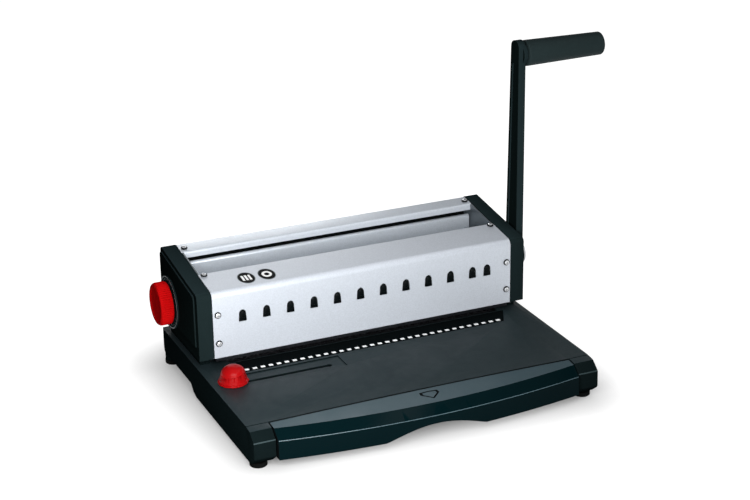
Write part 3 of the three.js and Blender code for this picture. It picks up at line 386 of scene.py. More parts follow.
def softened(piece, width=0.5, segments=3, angle=32):
    """Rounds every edge sharper than the angle, and shades the rest smooth."""
    for face in piece.data.polygons:
        face.use_smooth = True
    edge = piece.modifiers.new("edges", "BEVEL")
    edge.width = width * MM
    edge.segments = segments
    edge.limit_method = "ANGLE"
    edge.angle_limit = math.radians(angle)
    edge.harden_normals = True
    edge.miter_outer = "MITER_ARC"
    return piece


def smoothed(piece, angle=32):
    """Shades the piece smooth but for edges sharper than the angle."""
    for face in piece.data.polygons:
        face.use_smooth = True
    piece.data.set_sharp_from_angle(angle=math.radians(angle))
    return piece


def refined(node, name):
    """A copy of a CAD node as a piece of its own, ready for finer edges."""
    piece = bpy.data.objects.new(name, frame["nodes"][node].data.copy())
    bpy.context.scene.collection.objects.link(piece)
    piece.data.materials.clear()
    return cleaned(piece)


BODY_OF = {node: body for body, nodes in frame["record"]["behaviour"]["bodies"].items() for node in nodes}


def stands_for(piece, material, *nodes):
    """Dresses a piece and puts it in the place of CAD nodes."""
    piece.data.materials.append(material)
    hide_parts(*nodes)
    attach(piece, BODY_OF[nodes[0]])
    return piece


def lies_on(piece, material, body):
    """Dresses an added piece, which rides on a body."""
    piece.data.materials.append(material)
    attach(piece, body)
    return piece


# Shader nodes

def tone(red, green, blue):
    """A colour in display values from 0 to 255, as the linear one that shaders take."""
    shares = [value / 255 for value in (red, green, blue)]
    return tuple(v / 12.92 if v <= 0.04045 else ((v + 0.055) / 1.055) ** 2.4 for v in shares) + (1.0,)


def add(tree, kind, inputs=None, **settings):
    """A shader node with its settings, and its inputs as values or as links."""
    made = tree.nodes.new(kind)
    for key, value in settings.items():
        setattr(made, key, value)
    for key, value in (inputs or {}).items():
        if isinstance(value, bpy.types.NodeSocket):
            tree.links.new(value, made.inputs[key])
        else:
            made.inputs[key].default_value = value
    return made


def effect(name, inputs, outputs, build):
    """A node group that several materials use: named inputs, named outputs, built once."""
    tree = bpy.data.node_groups.new(name, "ShaderNodeTree")
    for label, value in inputs.items():
        tree.interface.new_socket(label, in_out="INPUT", socket_type="NodeSocketFloat").default_value = value
    for label in outputs:
        tree.interface.new_socket(label, in_out="OUTPUT", socket_type="NodeSocketFloat")
    start = tree.nodes.new("NodeGroupInput")
    end = tree.nodes.new("NodeGroupOutput")
    for label, socket in build(tree, start.outputs).items():
        tree.links.new(socket, end.inputs[label])
    return tree


def grain_effect(tree, given):
    """The fine pebbled grain of a moulding tool, and slow mottling of its tone."""
    place = add(tree, "ShaderNodeTexCoord").outputs["Object"]
    pebbles = add(tree, "ShaderNodeTexVoronoi", {"Vector": place, "Scale": given["Scale"]},
                  feature="SMOOTH_F1")
    rough = add(tree, "ShaderNodeTexNoise", {"Vector": place, "Scale": given["Scale"], "Detail": 3.0})
    height = add(tree, "ShaderNodeMath", {0: pebbles.outputs["Distance"], 1: rough.outputs["Fac"]},
                 operation="ADD")
    slow = add(tree, "ShaderNodeTexNoise", {"Vector": place, "Scale": 38.0, "Detail": 5.0, "Roughness": 0.65})
    spots = add(tree, "ShaderNodeTexNoise", {"Vector": place, "Scale": 900.0, "Detail": 2.0})
    mottle = add(tree, "ShaderNodeMix", {"Factor": 0.5, "A": slow.outputs["Fac"], "B": spots.outputs["Fac"]})
    return {"Height": height.outputs[0], "Mottle": mottle.outputs[0]}


def handling_effect(tree, given):
    """Soft smudges and a few fine scratches, where hands and paper pass."""
    place = add(tree, "ShaderNodeTexCoord").outputs["Object"]
    smudge = add(tree, "ShaderNodeTexNoise", {"Vector": place, "Scale": given["Scale"], "Detail": 6.0,
                                              "Roughness": 0.6, "Distortion": 0.8})
    spread = add(tree, "ShaderNodeMapRange",
                 {"Value": smudge.outputs["Fac"], "From Min": 0.35, "From Max": 0.75})
    turned_place = add(tree, "ShaderNodeMapping",
                       {"Vector": place, "Rotation": (0.2, 0.3, 0.6), "Scale": (12.0, 420.0, 260.0)})
    lines = add(tree, "ShaderNodeTexNoise", {"Vector": turned_place.outputs[0], "Scale": 2.0, "Detail": 2.0})
    fine = add(tree, "ShaderNodeMapRange",
               {"Value": lines.outputs["Fac"], "From Min": 0.66, "From Max": 0.74})
    return {"Smudge": spread.outputs[0], "Scratch": fine.outputs[0]}


def brushing_effect(tree, given):
    """Long fine lines left along X by rolling and brushing."""
    place = add(tree, "ShaderNodeTexCoord").outputs["Object"]
    drawn = add(tree, "ShaderNodeMapping", {"Vector": place, "Scale": (6.0, 1400.0, 1400.0)})
    lines = add(tree, "ShaderNodeTexNoise",
                {"Vector": drawn.outputs[0], "Scale": given["Scale"], "Detail": 4.0, "Roughness": 0.7})
    return {"Lines": lines.outputs["Fac"]}


def flake_effect(tree, given):
    """Metal flakes in paint: small cells that each catch the light their own way."""
    place = add(tree, "ShaderNodeTexCoord").outputs["Object"]
    cells = add(tree, "ShaderNodeTexVoronoi", {"Vector": place, "Scale": given["Scale"]})
    split = add(tree, "ShaderNodeSeparateColor", {"Color": cells.outputs["Color"]})
    orange = add(tree, "ShaderNodeTexNoise", {"Vector": place, "Scale": 420.0, "Detail": 2.0})
    return {"Glint": split.outputs[0], "Height": split.outputs[1], "Peel": orange.outputs["Fac"]}


GRAIN = effect("moulded grain", {"Scale": 900.0}, ["Height", "Mottle"], grain_effect)
HANDLING = effect("handling marks", {"Scale": 30.0}, ["Smudge", "Scratch"], handling_effect)
BRUSHING = effect("brushed lines", {"Scale": 1.0}, ["Lines"], brushing_effect)
FLAKES = effect("metal flakes", {"Scale": 1500.0}, ["Glint", "Height", "Peel"], flake_effect)


def new_finish(name):
    """A material with only its shader and output, and the shader's node."""
    finish = bpy.data.materials.new(name)
    finish.use_nodes = True
    tree = finish.node_tree
    return finish, tree, tree.nodes["Principled BSDF"]


def group_in(tree, shared, **inputs):
    """One of the shared effects, placed in a material with its own values."""
    return add(tree, "ShaderNodeGroup", {label.capitalize(): value for label, value in inputs.items()},
               node_tree=shared)


def between(tree, amount, low, high):
    """A value that goes from low to high with an amount from 0 to 1."""
    return add(tree, "ShaderNodeMapRange", {"Value": amount, "To Min": low, "To Max": high}).outputs[0]


def blended(tree, amount, first, second):
    """A colour between two, by an amount."""
    mix = add(tree, "ShaderNodeMix", data_type="RGBA")
    tree.links.new(amount, mix.inputs["Factor"])
    mix.inputs[6].default_value = first
    mix.inputs[7].default_value = second
    return mix.outputs[2]


def shaded(colour, share):
    """A colour made lighter or darker by a share."""
    return tuple(min(1.0, channel * share) for channel in colour[:3]) + (1.0,)


def bump(tree, height, depth, under=None):
    """A normal from a height, depth in millimetres."""
    inputs = {"Height": height, "Strength": 1.0, "Distance": depth * MM}
    if under is not None:
        inputs["Normal"] = under
    return add(tree, "ShaderNodeBump", inputs).outputs[0]


def moulded(name, colour, roughness, grain=900.0, depth=0.02, mottle=0.18, gloss=0.1, smudges=0.1):
    """Plastic or rubber from a mould: grained, mottled a little, and smudged a little."""
    finish, tree, shader = new_finish(name)
    grained = group_in(tree, GRAIN, scale=grain)
    handled = group_in(tree, HANDLING, scale=26.0)
    tint = blended(tree, grained.outputs["Mottle"], shaded(colour, 1 - mottle), shaded(colour, 1 + mottle))
    tree.links.new(tint, shader.inputs["Base Color"])
    rough = between(tree, handled.outputs["Smudge"], roughness - smudges / 2, roughness + smudges)
    tree.links.new(rough, shader.inputs["Roughness"])
    skin = bump(tree, grained.outputs["Height"], depth)
    tree.links.new(bump(tree, handled.outputs["Scratch"], -depth / 4, skin), shader.inputs["Normal"])
    shader.inputs["Specular IOR Level"].default_value = gloss
    return finish


def metallic_paint(name, colour, metallic, roughness):
    """Silver paint on sheet: flakes that glint, and the faint peel of sprayed paint."""
    finish, tree, shader = new_finish(name)
    flakes = group_in(tree, FLAKES, scale=1400.0)
    handled = group_in(tree, HANDLING, scale=14.0)
    tint = blended(tree, flakes.outputs["Glint"], shaded(colour, 0.93), shaded(colour, 1.06))
    tree.links.new(tint, shader.inputs["Base Color"])
    rough = between(tree, handled.outputs["Smudge"], roughness - 0.01, roughness + 0.03)
    tree.links.new(rough, shader.inputs["Roughness"])
    shader.inputs["Metallic"].default_value = metallic
    skin = bump(tree, flakes.outputs["Height"], 0.004)
    tree.links.new(bump(tree, flakes.outputs["Peel"], 0.006, skin), shader.inputs["Normal"])
    return finish


def bare_metal(name, colour, roughness):
    """Rolled, ground or plated metal, with its lines along the machine."""
    finish, tree, shader = new_finish(name)
    brushed = group_in(tree, BRUSHING, scale=1.0)
    handled = group_in(tree, HANDLING, scale=40.0)
    tint = blended(tree, brushed.outputs["Lines"], shaded(colour, 0.88), shaded(colour, 1.12))
    tree.links.new(tint, shader.inputs["Base Color"])
    rough = between(tree, handled.outputs["Smudge"], roughness - 0.04, roughness + 0.1)
    tree.links.new(rough, shader.inputs["Roughness"])
    shader.inputs["Metallic"].default_value = 1.0
    tree.links.new(bump(tree, brushed.outputs["Lines"], 0.004), shader.inputs["Normal"])
    return finish


def printed(name, colour, roughness, gloss=0.3):
    """Ink on plastic: a little thin in places."""
    finish, tree, shader = new_finish(name)
    grained = group_in(tree, GRAIN, scale=700.0)
    tint = blended(tree, grained.outputs["Mottle"], shaded(colour, 0.78), shaded(colour, 1.1))
    tree.links.new(tint, shader.inputs["Base Color"])
    rough = between(tree, grained.outputs["Mottle"], roughness, roughness + 0.15)
    tree.links.new(rough, shader.inputs["Roughness"])
    tree.links.new(bump(tree, grained.outputs["Height"], 0.004), shader.inputs["Normal"])
    shader.inputs["Specular IOR Level"].default_value = gloss
    return finish


table_plastic = moulded("charcoal table plastic", tone(26, 37, 40), 0.52,
                        grain=1000.0, depth=0.07, gloss=0.24)
# The table's walls and rear plinths, matte and darker than the top: painted shade
wall_painted_shade_plastic = moulded("matte black wall plastic with painted shade", tone(13, 21, 22), 0.6, grain=1000.0, depth=0.02, gloss=0.0)
cap_plastic = moulded("black cap plastic", tone(25, 35, 36), 0.5, grain=1100.0, depth=0.02, gloss=0.0)
# A paler plastic for rounded edges: a painted highlight
edge_painted_highlight = moulded("plastic edge with painted highlight", tone(46, 58, 60), 0.5, grain=1100.0, depth=0.01, gloss=0.05)
# A blacker plastic for faces turned left or right: painted shade
side_painted_shade_plastic = moulded("black plastic with painted side shade", tone(11, 18, 18), 0.6, grain=1100.0, depth=0.02, gloss=0.0)
# The lever's own plastic, which the end caps' tops also take as painted light
lever_plastic_and_top_light = moulded("black lever plastic and painted top light", tone(31, 42, 44), 0.5, grain=1200.0, depth=0.02, gloss=0.0)
strip_plastic = moulded("black strip plastic", tone(10, 14, 15), 0.5, grain=1400.0, depth=0.01, gloss=0.0)
drawer_plastic = moulded("glossy drawer plastic", tone(2, 17, 20), 0.12,
                         grain=160.0, depth=0.006, mottle=0.06, gloss=0.02, smudges=0.03)
# The top strip of the drawer, lighter than its face: painted sheen on a satin finish
ledge_painted_sheen = moulded("satin drawer ledge with painted sheen", tone(50, 66, 72), 0.4,
                       grain=160.0, depth=0.006, mottle=0.05, gloss=0.25)
# A light line along the drawer's crease: painted highlight
crease_painted_highlight = moulded("drawer crease with painted highlight", tone(68, 86, 92), 0.3,
                        grain=160.0, depth=0.004, mottle=0.05, gloss=0.2)
red_plastic = moulded("red knob plastic", tone(176, 11, 13), 0.35, depth=0.012, mottle=0.05, gloss=0.0)
guide_plastic = moulded("red guide plastic", tone(148, 9, 12), 0.3, depth=0.006, mottle=0.04, gloss=0.07)
sole_rubber = moulded("black sole rubber", tone(14, 15, 15), 0.8, grain=700.0, depth=0.03, gloss=0.02)
grip_rubber = moulded("soft grip rubber", tone(36, 47, 48), 0.55,
                      grain=620.0, depth=0.07, mottle=0.2, gloss=0.04)
hook_plastic = moulded("black hook plastic", tone(7, 11, 12), 0.3, grain=1500.0, depth=0.01, gloss=0.06)
# Near-black for gaps, grooves and the inside of the rear cover: painted shade
painted_shade_black = moulded("near-black painted shade", tone(16, 19, 20), 0.7, grain=1200.0, depth=0.01, gloss=0.0)
# A lighter copy of the silver paint for the rear bar and closer bar: painted light
rear_paint_painted_light = metallic_paint("lighter silver paint with painted light", tone(200, 207, 215), 0.2, 0.36)
silver_paint = metallic_paint("silver cover paint", tone(191, 197, 205), 0.22, 0.46)
# Grey plate paint darkened for the shaded trough: painted shade
plate_paint_painted_shade = metallic_paint("grey plate paint with painted shade", tone(88, 97, 103), 0.35, 0.4)
steel = bare_metal("rolled steel", tone(176, 182, 188), 0.34)
dark_steel = bare_metal("oiled dark steel", tone(60, 62, 66), 0.42)
plated = metallic_paint("plated screws", tone(228, 231, 234), 0.45, 0.24)
cap_metal = metallic_paint("satin cap metal", tone(232, 235, 238), 0.15, 0.4)
# Near-black for the screw heads' skirts and recesses: a painted dark ring of shade and reflection
shadow_steel = moulded("screw skirts with painted dark ring", tone(26, 28, 30), 0.5, grain=1500.0, depth=0.004, gloss=0.1)
white_ink = printed("white ink", tone(246, 248, 248), 0.5)
# Grey ink for the badge rims and ticks, which also draws the dial's painted rim highlight
grey_ink_and_rim_highlight = printed("grey ink and painted rim highlight", tone(120, 128, 132), 0.5)
black_ink = printed("black badge ink", tone(12, 13, 14), 0.4, gloss=0.02)


# Housing

def front_cover():
    """The bent front sheet, with its slots for the hooks."""
    half, low = COVER[1].x, COVER[0].z
    rear, rear_z = COVER[1].y, COVER[1].z
    skin = prism("front_cover_sheet", rounded([
        (0, low, 0), (0, CREASE_Z, BEND), (rear, rear_z, SHEET), (rear, rear_z - FLANGE_DROP, 0),
        (rear - SHEET, rear_z - FLANGE_DROP, 0), (rear - SHEET, rear_z - SHEET - SHEET * SLOPE, 0),
        (SHEET, CREASE_Z - SHEET + SHEET * SLOPE, BEND - SHEET), (SHEET, low, 0)], 14), -half, half)
    near, far = rear - 2 * SHEET, rear + SHEET
    notches = [prism("notch", [(side * (half - FLANGE_SHORT), near), (side * (half - FLANGE_SHORT), far),
                               (side * (half + OVERRUN), far), (side * (half + OVERRUN), near)],
                     rear_z - FLANGE_DROP - OVERRUN, rear_z - 2 * SHEET, "Z") for side in (-1, 1)]
    slots = [prism("slot", hook_outline(x, HOOK_CLEAR), -HOOK_OUT, HOOK_OUT, "Y") for x in hook_places()]
    cut(skin, *notches, *slots)
    softened(cleaned(skin), 0.22, 3)
    stands_for(skin, silver_paint, "front_cover")


def hook_places():
    """Where the hooks stand: halfway between two holes, each three holes on but for the last."""
    steps = [3 * index for index in range(HOOKS - 1)] + [3 * (HOOKS - 1) - 1]
    return [FIRST_HOLE + PITCH * (step + 0.5) for step in steps]


def hook_outline(x, grow=0.0, low_share=0.0):
    """A bullet outline: straight sides that close in two arcs at the top, a little wider below."""
    half = HOOK_WIDTH / 2 + grow
    low = HOOK_Z - HOOK_HEIGHT / 2 - grow + HOOK_HEIGHT * low_share
    high = HOOK_Z + HOOK_HEIGHT / 2 + grow
    flare = HOOK_FLARE * (1 - low_share)
    shoulder = high - HOOK_CROWN_SHARE * half
    side = [Vector((half + flare, low)), Vector((half, shoulder))]
    for turn in (HOOK_CROWN_TURN * step / 9 for step in range(1, 9)):
        inward_share = (1 - math.cos(turn)) / (1 - math.cos(HOOK_CROWN_TURN))
        rise = (high - shoulder) * math.sin(turn) / math.sin(HOOK_CROWN_TURN)
        side.append(Vector((half * (1 - inward_share), shoulder + rise)))
    other = [Vector((-point.x, point.y)) for point in reversed(side)]
    return [Vector((x + point.x, point.y)) for point in side + [Vector((0, high))] + other]


def wire_hooks():
    """Twelve moulded hooks on their strip behind the cover."""
    low, high = span("hook_strip")
    strip = prism("wire_hooks", [(low.x, low.z), (high.x, low.z), (high.x, high.z), (low.x, high.z)],
                  SHEET + HOOK_STRIP_GAP, high.y, "Y")
    for x in hook_places():
        body = prism("hook", hook_outline(x), -HOOK_OUT + HOOK_STEP, SHEET + OVERRUN, "Y")
        softened(body, 0.9, 4)
        tip = prism("tip", hook_outline(x, -HOOK_TIP_IN, HOOK_TIP_LOW_SHARE),
                    -HOOK_OUT, -HOOK_OUT + HOOK_TIP_LONG, "Y")
        softened(tip, 0.7, 4)
        strip = joined(strip, settled(body), settled(tip))
    stands_for(smoothed(strip, 40), hook_plastic, "hook_strip")


def covers_and_plates():
    """Sheets, bars and plates whose shape is the solid's, with finer edges."""
    for node, name, width, material in [
        # The closer bar takes the lighter copy of the silver paint: painted light
        ("closer_bar", "closer_bar_body", 0.3, rear_paint_painted_light),
        # The chassis plates take the darkened grey: painted shade
        ("chassis_plate_left", "chassis_left_sheet", 0.15, plate_paint_painted_shade),
        ("chassis_plate_right", "chassis_right_sheet", 0.15, plate_paint_painted_shade),
        ("trough_floor", "trough_floor_sheet", 0.2, steel),
        ("anvil_bar", "anvil_bar_body", 0.5, steel),
        ("bottom_plate", "bottom_plate_sheet", 0.3, dark_steel),
        ("chip_tray", "chip_tray_body", 0.5, drawer_plastic),
    ]:
        stands_for(softened(refined(node, name), width), material, node)


def rear_bar():
    """The folded rear channel, with its wide front bend and its short lip."""
    low, high = span("rear_bar")
    inside = low.y + SHEET, high.y - SHEET

    def top(y):
        """The height of the sloped top at a place."""
        return high.z - (high.y - y) * SLOPE

    lip = low.z + REAR_LIP
    skin = prism("rear_bar_sheet", rounded([
        (low.y, low.z, 0), (inside[0], low.z, 0), (inside[0], top(inside[0]) - SHEET, REAR_BEND - SHEET),
        (inside[1], top(inside[1]) - SHEET, 0), (inside[1], lip, 0), (high.y, lip, 0),
        (high.y, top(high.y), REAR_ROUND), (low.y, top(low.y), REAR_BEND)], 10), low.x, high.x)
    # The rear bar takes the lighter copy of the silver paint: painted light
    stands_for(softened(skin, 0.2, 2, 40), rear_paint_painted_light, "rear_bar")


def mouldings_with_painted_light():
    """Mouldings with a painted highlight on their rounded edges, painted shade on their left and right sides,
    and painted light on their tops.
    """
    for node, name, width, material in [
        ("end_cap_left", "end_cap_left_shell", 0.9, cap_plastic),
        ("end_cap_right", "end_cap_right_shell", 0.9, cap_plastic),
        ("lever_arm", "lever_arm_body", 0.8, lever_plastic_and_top_light),
    ]:
        piece = stands_for(softened(refined(node, name), width), material, node)
        for second in (edge_painted_highlight, side_painted_shade_plastic, lever_plastic_and_top_light):
            piece.data.materials.append(second)
        for face in piece.data.polygons:
            square = max(abs(share) for share in face.normal)
            # Faces turned left or right take the blacker plastic: painted shade
            if abs(face.normal.x) > 0.97:
                face.material_index = 2
            # Top faces take the lighter lever plastic: painted light on the end caps
            elif face.normal.z > 0.95:
                face.material_index = 3
            # Small faces on the rounded edges take the paler plastic: a painted highlight
            elif square < 0.93 and abs(face.normal.x) > 0.3 and face.area < HIGHLIGHT_FACE_AREA * MM * MM:
                face.material_index = 1


def split_finishes():
    """The table and the rear cover, with more than one finish: painted shade on the walls under the top, on
    the rear plinths, in the drawer bay and inside the rear cover, and a painted highlight on the corner
    blocks' crease.
    """
    shell = refined("base_shell", "table_shell")
    front, back = SEAM_Y
    for side in (-1, 1):
        near, far = sorted(side * reach for reach in SEAM_X)
        cut(shell, prism("seam", [(near, front), (far, front), (far, back), (near, back)],
                         TABLE_TOP - SEAM_DEEP, TABLE_TOP + OVERRUN, "Z"))
    shell = stands_for(softened(shell, 0.7), table_plastic, "base_shell")
    for material in (wall_painted_shade_plastic, painted_shade_black, edge_painted_highlight):
        shell.data.materials.append(material)
    for face in shell.data.polygons:
        at = face.center / MM - HOME / MM
        # Walls under the top and the rear plinths take the darker plastic: painted shade
        face.material_index = int(face.normal.z < 0.9 or abs(at.x) > PLINTH_X and at.y > 0)
        # Forward-facing faces of the drawer bay take near-black: painted shade in the seam
        if abs(at.x) < BAY_X and BAY_Y[0] < at.y < BAY_Y[1] and face.normal.y < -0.6:
            face.material_index = 2
        # Faces on the corner blocks' crease take the paler plastic: a painted highlight
        near_edge = BLOCK_EDGE_DROPS[0] < TABLE_TOP - at.z < BLOCK_EDGE_DROPS[1]
        if at.y < BLOCK_FACE_Y and 0.25 < face.normal.z < 0.7 and near_edge:
            face.material_index = 3
    rear = stands_for(softened(refined("rear_cover", "rear_cover_sheet"), 0.3), silver_paint, "rear_cover")
    # Inner faces of the rear cover take near-black: painted shade
    rear.data.materials.append(painted_shade_black)
    for face in rear.data.polygons:
        face.material_index = int(face.normal.y < -0.5)


def screw_facing(node):
    """The way that a screw's head faces."""
    if node.startswith(("cover_top", "rear_bar")):
        return Vector((0, -SLOPE, 1)).normalized()
    return Vector((0, 1 if node.startswith("rear_cover") else -1, 0))


def screw_heads():
    """Pan heads with a cross recess, one for each screw of the covers."""
    radius, seat, shank = HEAD_RADIUS, -HEAD_DOME, SHANK[0]
    end, skirt = seat - SHANK[1], seat + HEAD_SKIRT
    profile = [(0, end), (shank, end), (shank, seat), (radius - HEAD_CHAMFER[0], seat),
               (radius, seat + HEAD_CHAMFER[1]), (radius, skirt)]
    profile += [(radius * math.cos(turn), skirt - skirt * math.sin(turn)) for turn in quarter(8, 1)]
    profile.append((0, 0))
    for node in sorted(node for node in BODY_OF if "_screw_" in node):
        low, high = span(node)
        facing = screw_facing(node)
        middle = (low + high) / 2
        corners = [Vector((middle.x, y, z)) for y in (low.y, high.y) for z in (low.z, high.z)]
        tip = max(facing.dot(corner - middle) for corner in corners)
        if abs(facing.z) > 0.5:
            tip -= radius * abs(facing.y)
        head = turned(node + "_head", profile, (0, 0), "Z", 40)
        arms = [prism("recess", [(-a, -b), (a, -b), (a, b), (-a, b)], -CROSS_DEEP, OVERRUN, "Z")
                for a, b in (CROSS, CROSS[::-1])]
        cut(head, joined(*arms))
        # Faces that don't face out, the skirt and the recess walls, take near-black: a painted dark ring
        for face in head.data.polygons:
            face.material_index = int(face.normal.z < 0.9)
        spin = Matrix.Rotation(math.radians(own_turn(node)), 4, "Z")
        lean = facing.to_track_quat("Z", "Y").to_matrix().to_4x4()
        at = HOME + (middle + facing * tip) * MM
        head.data.transform(Matrix.Translation(at) @ lean @ spin @ Matrix.Translation(-HOME))
        stands_for(smoothed(head, 35), plated, node).data.materials.append(shadow_steel)


def own_turn(node):
    """A screw's own turn, in degrees, worked out from its name so that it stays the same."""
    return sum(ord(letter) for letter in node) * 37 % 90


# Badges, marks and dial

def on_slope(outline, x, y, low, high, name):
    """A flat piece on the sloped cover, centred on (x, y), between two heights above the paint."""
    piece = prism(name, outline, low, high, "Z")
    lean = Matrix.Rotation(math.atan(SLOPE), 4, "X")
    at = HOME + Vector((x, y, CREASE_Z + y * SLOPE)) * MM
    piece.data.transform(Matrix.Translation(at) @ lean @ Matrix.Translation(-HOME))
    return piece


def badges():
    """Two black oval badges with a pale rim: one holds three plain bars, the other a plain ring."""
    wide, deep = BADGE_HALF
    for index, (x, y) in enumerate(BADGES):
        rim = on_slope(oval(wide, deep, 64), x, y, *BADGE_RISES["rim"], f"badge_rim_{index + 1}")
        ink = oval(wide * BADGE_INK_SHARE, deep * BADGE_INK_SHARE, 64)
        disc = on_slope(ink, x, y, *BADGE_RISES["ink"], f"badge_{index + 1}")
        lies_on(softened(rim, 0.04, 2), grey_ink_and_rim_highlight, "base")
        lies_on(softened(disc, 0.05, 2), black_ink, "base")
    half, reach = BAR_HALF
    bars = [on_slope([(x - half, -reach), (x + half, -reach), (x + half, reach), (x - half, reach)],
                     *BADGES[0], *BADGE_RISES["mark"], "bar") for x in BAR_PLACES]
    lies_on(joined(*bars), white_ink, "base").name = "badge_bars"
    wide, deep = RING_HALF
    ring = on_slope(oval(wide, deep), *BADGES[1], *BADGE_RISES["mark"], "badge_ring")
    hole = oval(wide * RING_HOLE_SHARE, deep * RING_HOLE_SHARE)
    cut(ring, on_slope(hole, *BADGES[1], 0, OVERRUN, "core"))
    lies_on(ring, white_ink, "base")


def table_marks():
    """The printed squares in front of the throat, one for each hole."""
    wide, deep = MARK[0] / 2, MARK[1] / 2
    square = rounded([(-wide, -deep, MARK_ROUND), (wide, -deep, MARK_ROUND), (wide, deep, MARK_ROUND),
                      (-wide, deep, MARK_ROUND)], 3)
    count = len(square)
    verts, faces = [], []
    for index in range(HOLES):
        x = FIRST_HOLE + PITCH * index
        first = len(verts)
        verts += [(x + point.x, MARK_Y + point.y, TABLE_TOP + rise) for rise in INK_RISES for point in square]
        faces.append(tuple(range(first + count - 1, first - 1, -1)))
        faces.append(tuple(range(first + count, first + 2 * count)))
        faces += [(first + k, first + (k + 1) % count, first + count + (k + 1) % count, first + count + k)
                  for k in range(count)]
    lies_on(piece_from("row_marks", verts, faces), white_ink, "base")


def size_dial():
    """The dial ring behind the size knob, with a grey line painted as the highlight on its rim, and plain
    ticks.
    """
    left, right = DIAL[0].x, DIAL[1].x
    centre = middle_of(DIAL)
    radius = (DIAL[1].y - DIAL[0].y) / 2
    profile = [(DIAL_BORE, right), (radius, right)]
    profile += [(radius - inset, left + deep) for inset, deep in DIAL_RIM]
    profile += [(reach, left + deep) for reach, deep in DIAL_BEAD]
    profile += [(DIAL_BORE, left + DIAL_FACE), (DIAL_BORE, right)]
    ring = turned("size_dial_ring", profile, centre, "X", 128)
    stands_for(smoothed(ring, 30), cap_plastic, "size_dial")
    # A grey line painted as the highlight on the dial's rim
    outer, inner = radius - RIM_HIGHLIGHT["outer"], radius - RIM_HIGHLIGHT["inner"]
    seat, face = left + DIAL_FACE, left + RIM_HIGHLIGHT["face"]
    profile = [(inner, seat), (outer, seat), (outer, face), (inner, face), (inner, seat)]
    line = turned("dial_rim_painted_highlight", profile, centre, "X", 128)
    lies_on(smoothed(line, 30), grey_ink_and_rim_highlight, "base")
    dial_ticks(centre, radius, left)


def dial_ticks(centre, radius, left):
    """Plain ticks round the dial, each fourth one longer."""
    verts, faces = [], []
    outer, half = radius - TICK["start"], TICK["half"]
    for index in range(TICKS):
        angle = math.radians(TICK_SWEEP * (index / (TICKS - 1) - 0.5))
        inner = radius - TICK["long" if index % 4 == 0 else "short"]
        first = len(verts)
        for along in (left + DIAL_FACE, left + TICK["face"]):
            for reach, side in ((inner, -half), (outer, -half), (outer, half), (inner, half)):
                verts.append((along, centre[0] + reach * math.cos(angle) - side * math.sin(angle),
                              centre[1] + reach * math.sin(angle) + side * math.cos(angle)))
        faces += [tuple(first + k for k in face) for face in
                  ((3, 2, 1, 0), (4, 5, 6, 7), (0, 1, 5, 4), (1, 2, 6, 5), (2, 3, 7, 6), (3, 0, 4, 7))]
    lies_on(piece_from("dial_ticks", verts, faces), grey_ink_and_rim_highlight, "base")


# Knobs

def size_knob():
    """The red size knob: a ribbed rim, a dished face and a neck."""
    left, right = KNOB[0].x, KNOB[1].x
    bore, bore_deep = KNOB_BORE
    neck, neck_long = KNOB_NECK
    back = right - neck_long
    radius = (KNOB[1].z - KNOB[0].z) / 2
    profile = [(bore, left + bore_deep), (bore, right), (neck, right), (neck, back)]
    profile += [(radius - inset, back - deep) for inset, deep in KNOB_BACK]
    profile += [(radius - inset, left + deep) for inset, deep in KNOB_FRONT]
    profile += [(reach, left + deep) for reach, deep in KNOB_DISH]

    def rib(step, index):
        """How far the rim's surface lies in, at a step of the profile and a place round it."""
        wave = math.cos(2 * math.pi * index * KNOB_RIBS / KNOB_SIDES)
        return RIB_DEPTHS.get(step, 0.0) * (wave - 1)

    knob = turned("size_knob_body", profile, middle_of(KNOB), "X", KNOB_SIDES, rib)
    filled(knob)
    stands_for(smoothed(knob, 50), red_plastic, "size_knob")


def filled(piece):
    """Closes the open bore of a turned piece whose profile starts away from the axis."""
    work = bmesh.new()
    work.from_mesh(piece.data)
    bmesh.ops.holes_fill(work, edges=[edge for edge in work.edges if edge.is_boundary], sides=0)
    bmesh.ops.recalc_face_normals(work, faces=work.faces)
    work.to_mesh(piece.data)
    work.free()


def hull_piece(name, points):
    """The smallest convex solid round points."""
    piece = piece_from(name, [], [])
    work = bmesh.new()
    for point in points:
        work.verts.new(HOME + Vector(point) * MM)
    found = bmesh.ops.convex_hull(work, input=work.verts[:])
    inside = found["geom_interior"] + found["geom_unused"]
    loose = {item for item in inside if isinstance(item, bmesh.types.BMVert)}
    bmesh.ops.delete(work, geom=list(loose), context="VERTS")
    work.to_mesh(piece.data)
    work.free()
    return piece


